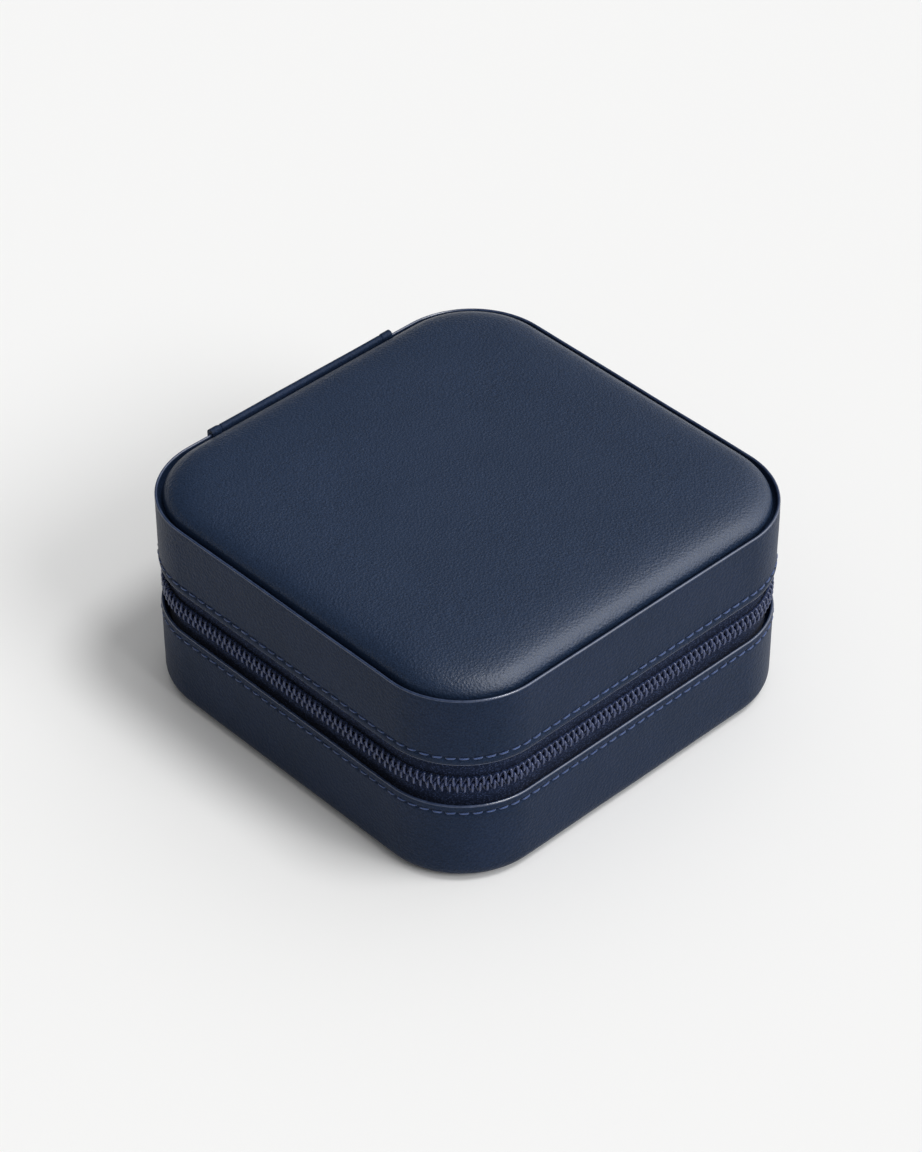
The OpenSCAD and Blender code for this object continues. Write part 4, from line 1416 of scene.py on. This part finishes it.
def makePocket():
    # one gathered sheet: sewn to the panel on three sides, drawn in by the elastic on the fourth
    look = pocketSet
    columns, rows = 228, 40
    clearSelection()
    bpy.ops.mesh.primitive_grid_add(x_subdivisions=columns, y_subdivisions=rows, size=1, location=(0, 0, 0))
    pocket = bpy.context.object
    pocket.name = "lidPocket"
    wide, deep = pocketHigh.x - pocketLow.x, pocketHigh.y - pocketLow.y
    sewnZ = pocketHigh.z - 0.12 * mm
    hemZ = (elasticLow.z + elasticHigh.z) / 2
    for vertex in pocket.data.vertices:
        u, v = vertex.co.x + 0.5, vertex.co.y + 0.5       # across, and back from the hem
        x, y = pocketLow.x + u * wide, pocketLow.y + v * deep
        side = smoothStep(min(u, 1 - u) / 0.07)
        back = smoothStep((1 - v) / 0.14)
        drift = noise.noise(Vector((u * 3.1, v * 1.4, 0.6)))
        fold = math.sin(2 * math.pi * (look["gathers"] * u + 0.9 * drift * v + 0.25 * math.sin(9 * u)))
        reach = (1 - v) ** 1.3 * (0.75 + 0.35 * noise.noise(Vector((u * 14, 0.4, 2.2))))
        belly = look["belly"] * math.sin(math.pi * min(1, v * 1.1 + 0.1)) * side
        hang = (sewnZ - hemZ) * (1 - smoothStep(v / 0.75)) * side
        z = sewnZ - (hang + belly + look["depth"] * fold * reach * side) * back
        vertex.co = (x, y, min(max(z, pocketLow.z + 0.35 * mm), sewnZ))
    area = 0.0
    for face in pocket.data.polygons:
        area += face.area
    flatWide = area / deep
    solid = pocket.modifiers.new("thickness", 'SOLIDIFY')
    solid.thickness = look["thick"]
    solid.offset = 0
    finishModifiers(pocket)
    settle(pocket, 60)
    dress(pocket, velvet, "lid")
    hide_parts("lid_pocket")
    return pocket, (flatWide, deep)


def makeElastic():
    # the hem, ruched over its elastic
    middleY, middleZ = (elasticLow.y + elasticHigh.y) / 2, (elasticLow.z + elasticHigh.z) / 2
    halfY, halfZ = (elasticHigh.y - elasticLow.y) / 2, (elasticHigh.z - elasticLow.z) / 2
    half = elasticHigh.x
    clearSelection()
    bpy.ops.mesh.primitive_cylinder_add(vertices=16, radius=1, depth=2, end_fill_type='NGON',
                                        rotation=(0, math.pi / 2, 0), location=(0, 0, 0))
    hem = bpy.context.object
    hem.name = "pocketHem"
    bpy.ops.object.transform_apply(location=False, rotation=True, scale=False)
    for cuts in (19, 19):
        bpy.ops.object.mode_set(mode='EDIT')
        pick(hem, 'EDGE', lambda a, b: abs(a.x - b.x) > 0.01 and abs(a.y - b.y) + abs(a.z - b.z) < 0.01)
        bpy.ops.mesh.subdivide(number_cuts=cuts)
        bpy.ops.object.mode_set(mode='OBJECT')
    for vertex in hem.data.vertices:
        u, cy, cz = vertex.co.x, vertex.co.y, vertex.co.z
        turn = math.atan2(cz, cy)
        phase = elasticSet["ruches"] * u * math.pi + 1.2 * noise.noise(Vector((u * 9, turn, 0.3)))
        ruche = elasticSet["ruche"] * (0.5 + 0.5 * math.sin(phase + 0.5 * math.sin(turn)))
        flat = 0.86
        squeeze = smoothStep((1 - abs(u)) / 0.03) * 0.25 + 0.75
        vertex.co = (u * half, middleY + cy * (halfY * flat - ruche) * squeeze,
                     middleZ + cz * (halfZ * flat - ruche) * squeeze)
    settle(hem, 70)
    dress(hem, velvet, "lid")
    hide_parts("pocket_elastic")
    return hem


strapSet = {"bevel": 0.22 * mm, "groove": 0.08 * mm, "capR": 2.8 * mm}


def turned(name, centre, rings, first, vertices=28):
    # a turned piece about Z: rings are (radius, height) from its first face on
    clearSelection()
    bpy.ops.mesh.primitive_circle_add(vertices=vertices, radius=first[0], fill_type='NGON',
                                      location=(centre[0], centre[1], first[1]))
    piece = bpy.context.object
    piece.name = name
    bpy.ops.object.transform_apply(location=True, rotation=True, scale=True)
    editAll()
    radius, height = first
    for newRadius, newHeight in rings:
        extrude((0, 0, newHeight - height))
        grow = newRadius / radius
        bpy.ops.transform.resize(value=(grow, grow, 1), center_override=(centre[0], centre[1], newHeight))
        radius, height = newRadius, newHeight
    closeUp()
    return piece


def makeStraps():
    look = strapSet
    studLow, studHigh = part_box("strap_studs")
    anchorLow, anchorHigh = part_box("strap_anchors")
    for number in (1, 2, 3):
        low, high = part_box("necklace_strap_%d" % number)
        body = "strap_%d" % number
        middle = (low.x + high.x) / 2
        half = (high.x - low.x) / 2
        snapY = (studLow.y + studHigh.y) / 2
        skinLow = low.z + 0.8 * mm
        skinHigh = high.z
        outline = [(middle - half, low.y + 0.15 * mm), (middle + half, low.y + 0.15 * mm)]
        outline += [(middle + half, low.y + (high.y - half - low.y) * k / 6) for k in range(1, 7)]
        outline += [(middle + half * math.cos(a), high.y - half + half * math.sin(a))
                    for a in (math.radians(12 * k) for k in range(1, 15))]
        outline += [(middle - half, low.y + (high.y - half - low.y) * k / 6) for k in (6, 5, 4, 3, 2, 1)]
        strap = flatFace("necklaceStrap%d" % number, [(x, y, skinLow) for x, y in outline])
        editAll()
        extrude((0, 0, skinHigh - skinLow))
        bpy.ops.mesh.select_all(action='SELECT')
        bpy.ops.mesh.normals_make_consistent(inside=False)
        pick(strap, 'FACE', lambda centre, normal: abs(normal.z) > 0.9)
        insetSteps([(look["bevel"], 0), (0.55 * mm, 0), (0.12 * mm, -look["groove"]),
                    (0.12 * mm, look["groove"])])
        pick(strap, 'EDGE', lambda a, b: abs(a.z - b.z) < 0.01 * mm and (
            min(abs(a.z - skinLow), abs(a.z - skinHigh)) < 0.01 * mm) and outerEdge(a, b, middle, half, low.y, high.y))
        bpy.ops.mesh.bevel(offset=look["bevel"] * 0.8, segments=3, affect='EDGES')
        bpy.ops.object.mode_set(mode='OBJECT')
        settle(strap, 40)
        dress(strap, leather, body)
        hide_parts("necklace_strap_%d" % number)
        r = look["capR"]
        capTop, capLow = skinLow + 0.05 * mm, low.z
        cap = turned("strapCap%d" % number, (middle, snapY), [
            (r, capTop - 0.35 * mm), (r - 0.12 * mm, capTop - 0.55 * mm), (r - 0.5 * mm, capLow + 0.18 * mm),
            (r - 1.1 * mm, capLow + 0.05 * mm), (r - 2.0 * mm, capLow), (0.25 * mm, capLow)], (r, capTop))
        settle(cap, 40)
        dress(cap, nickel, body)
    anchors, studs = [], []
    for number in (1, 2, 3):
        low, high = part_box("necklace_strap_%d" % number)
        middle = (low.x + high.x) / 2
        half = (high.x - low.x) / 2
        anchors.append(makeBlock("anchor", (middle - half, anchorLow.y, anchorLow.z),
                                 (middle + half, anchorHigh.y, anchorHigh.z), 0.35 * mm, 3))
        r = (studHigh.y - studLow.y) / 2
        studs.append(turned("stud", (middle, (studLow.y + studHigh.y) / 2), [
            (r, studHigh.z - 0.25 * mm), (r - 0.15 * mm, studHigh.z - 0.4 * mm), (r * 0.62, studHigh.z - 0.5 * mm),
            (r * 0.55, studLow.z + 0.3 * mm), (r * 0.6, studLow.z + 0.15 * mm), (r * 0.45, studLow.z),
            (r * 0.2, studLow.z)], (r, studHigh.z)))
    anchor = joinAll(anchors, "strapAnchors")
    settle(anchor, 40)
    dress(anchor, leather, "lid")
    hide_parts("strap_anchors")
    stud = joinAll(studs, "strapStuds")
    settle(stud, 40)
    dress(stud, nickel, "lid")
    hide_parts("strap_studs")


def outerEdge(a, b, middle, half, lowY, highY):
    # whether an edge runs round the outside of a strap
    def onEdge(co):
        if co.y < highY - half:
            return abs(abs(co.x - middle) - half) < 0.02 * mm or abs(co.y - lowY - 0.15 * mm) < 0.02 * mm
        return abs(math.hypot(co.x - middle, co.y - highY + half) - half) < 0.02 * mm
    return onEdge(a) and onEdge(b)


makeLidWall()
makeLidPanel()
pocketPiece, pocketFlat = makePocket()
hemPiece = makeElastic()
makeStraps()
print("lid lining ready")
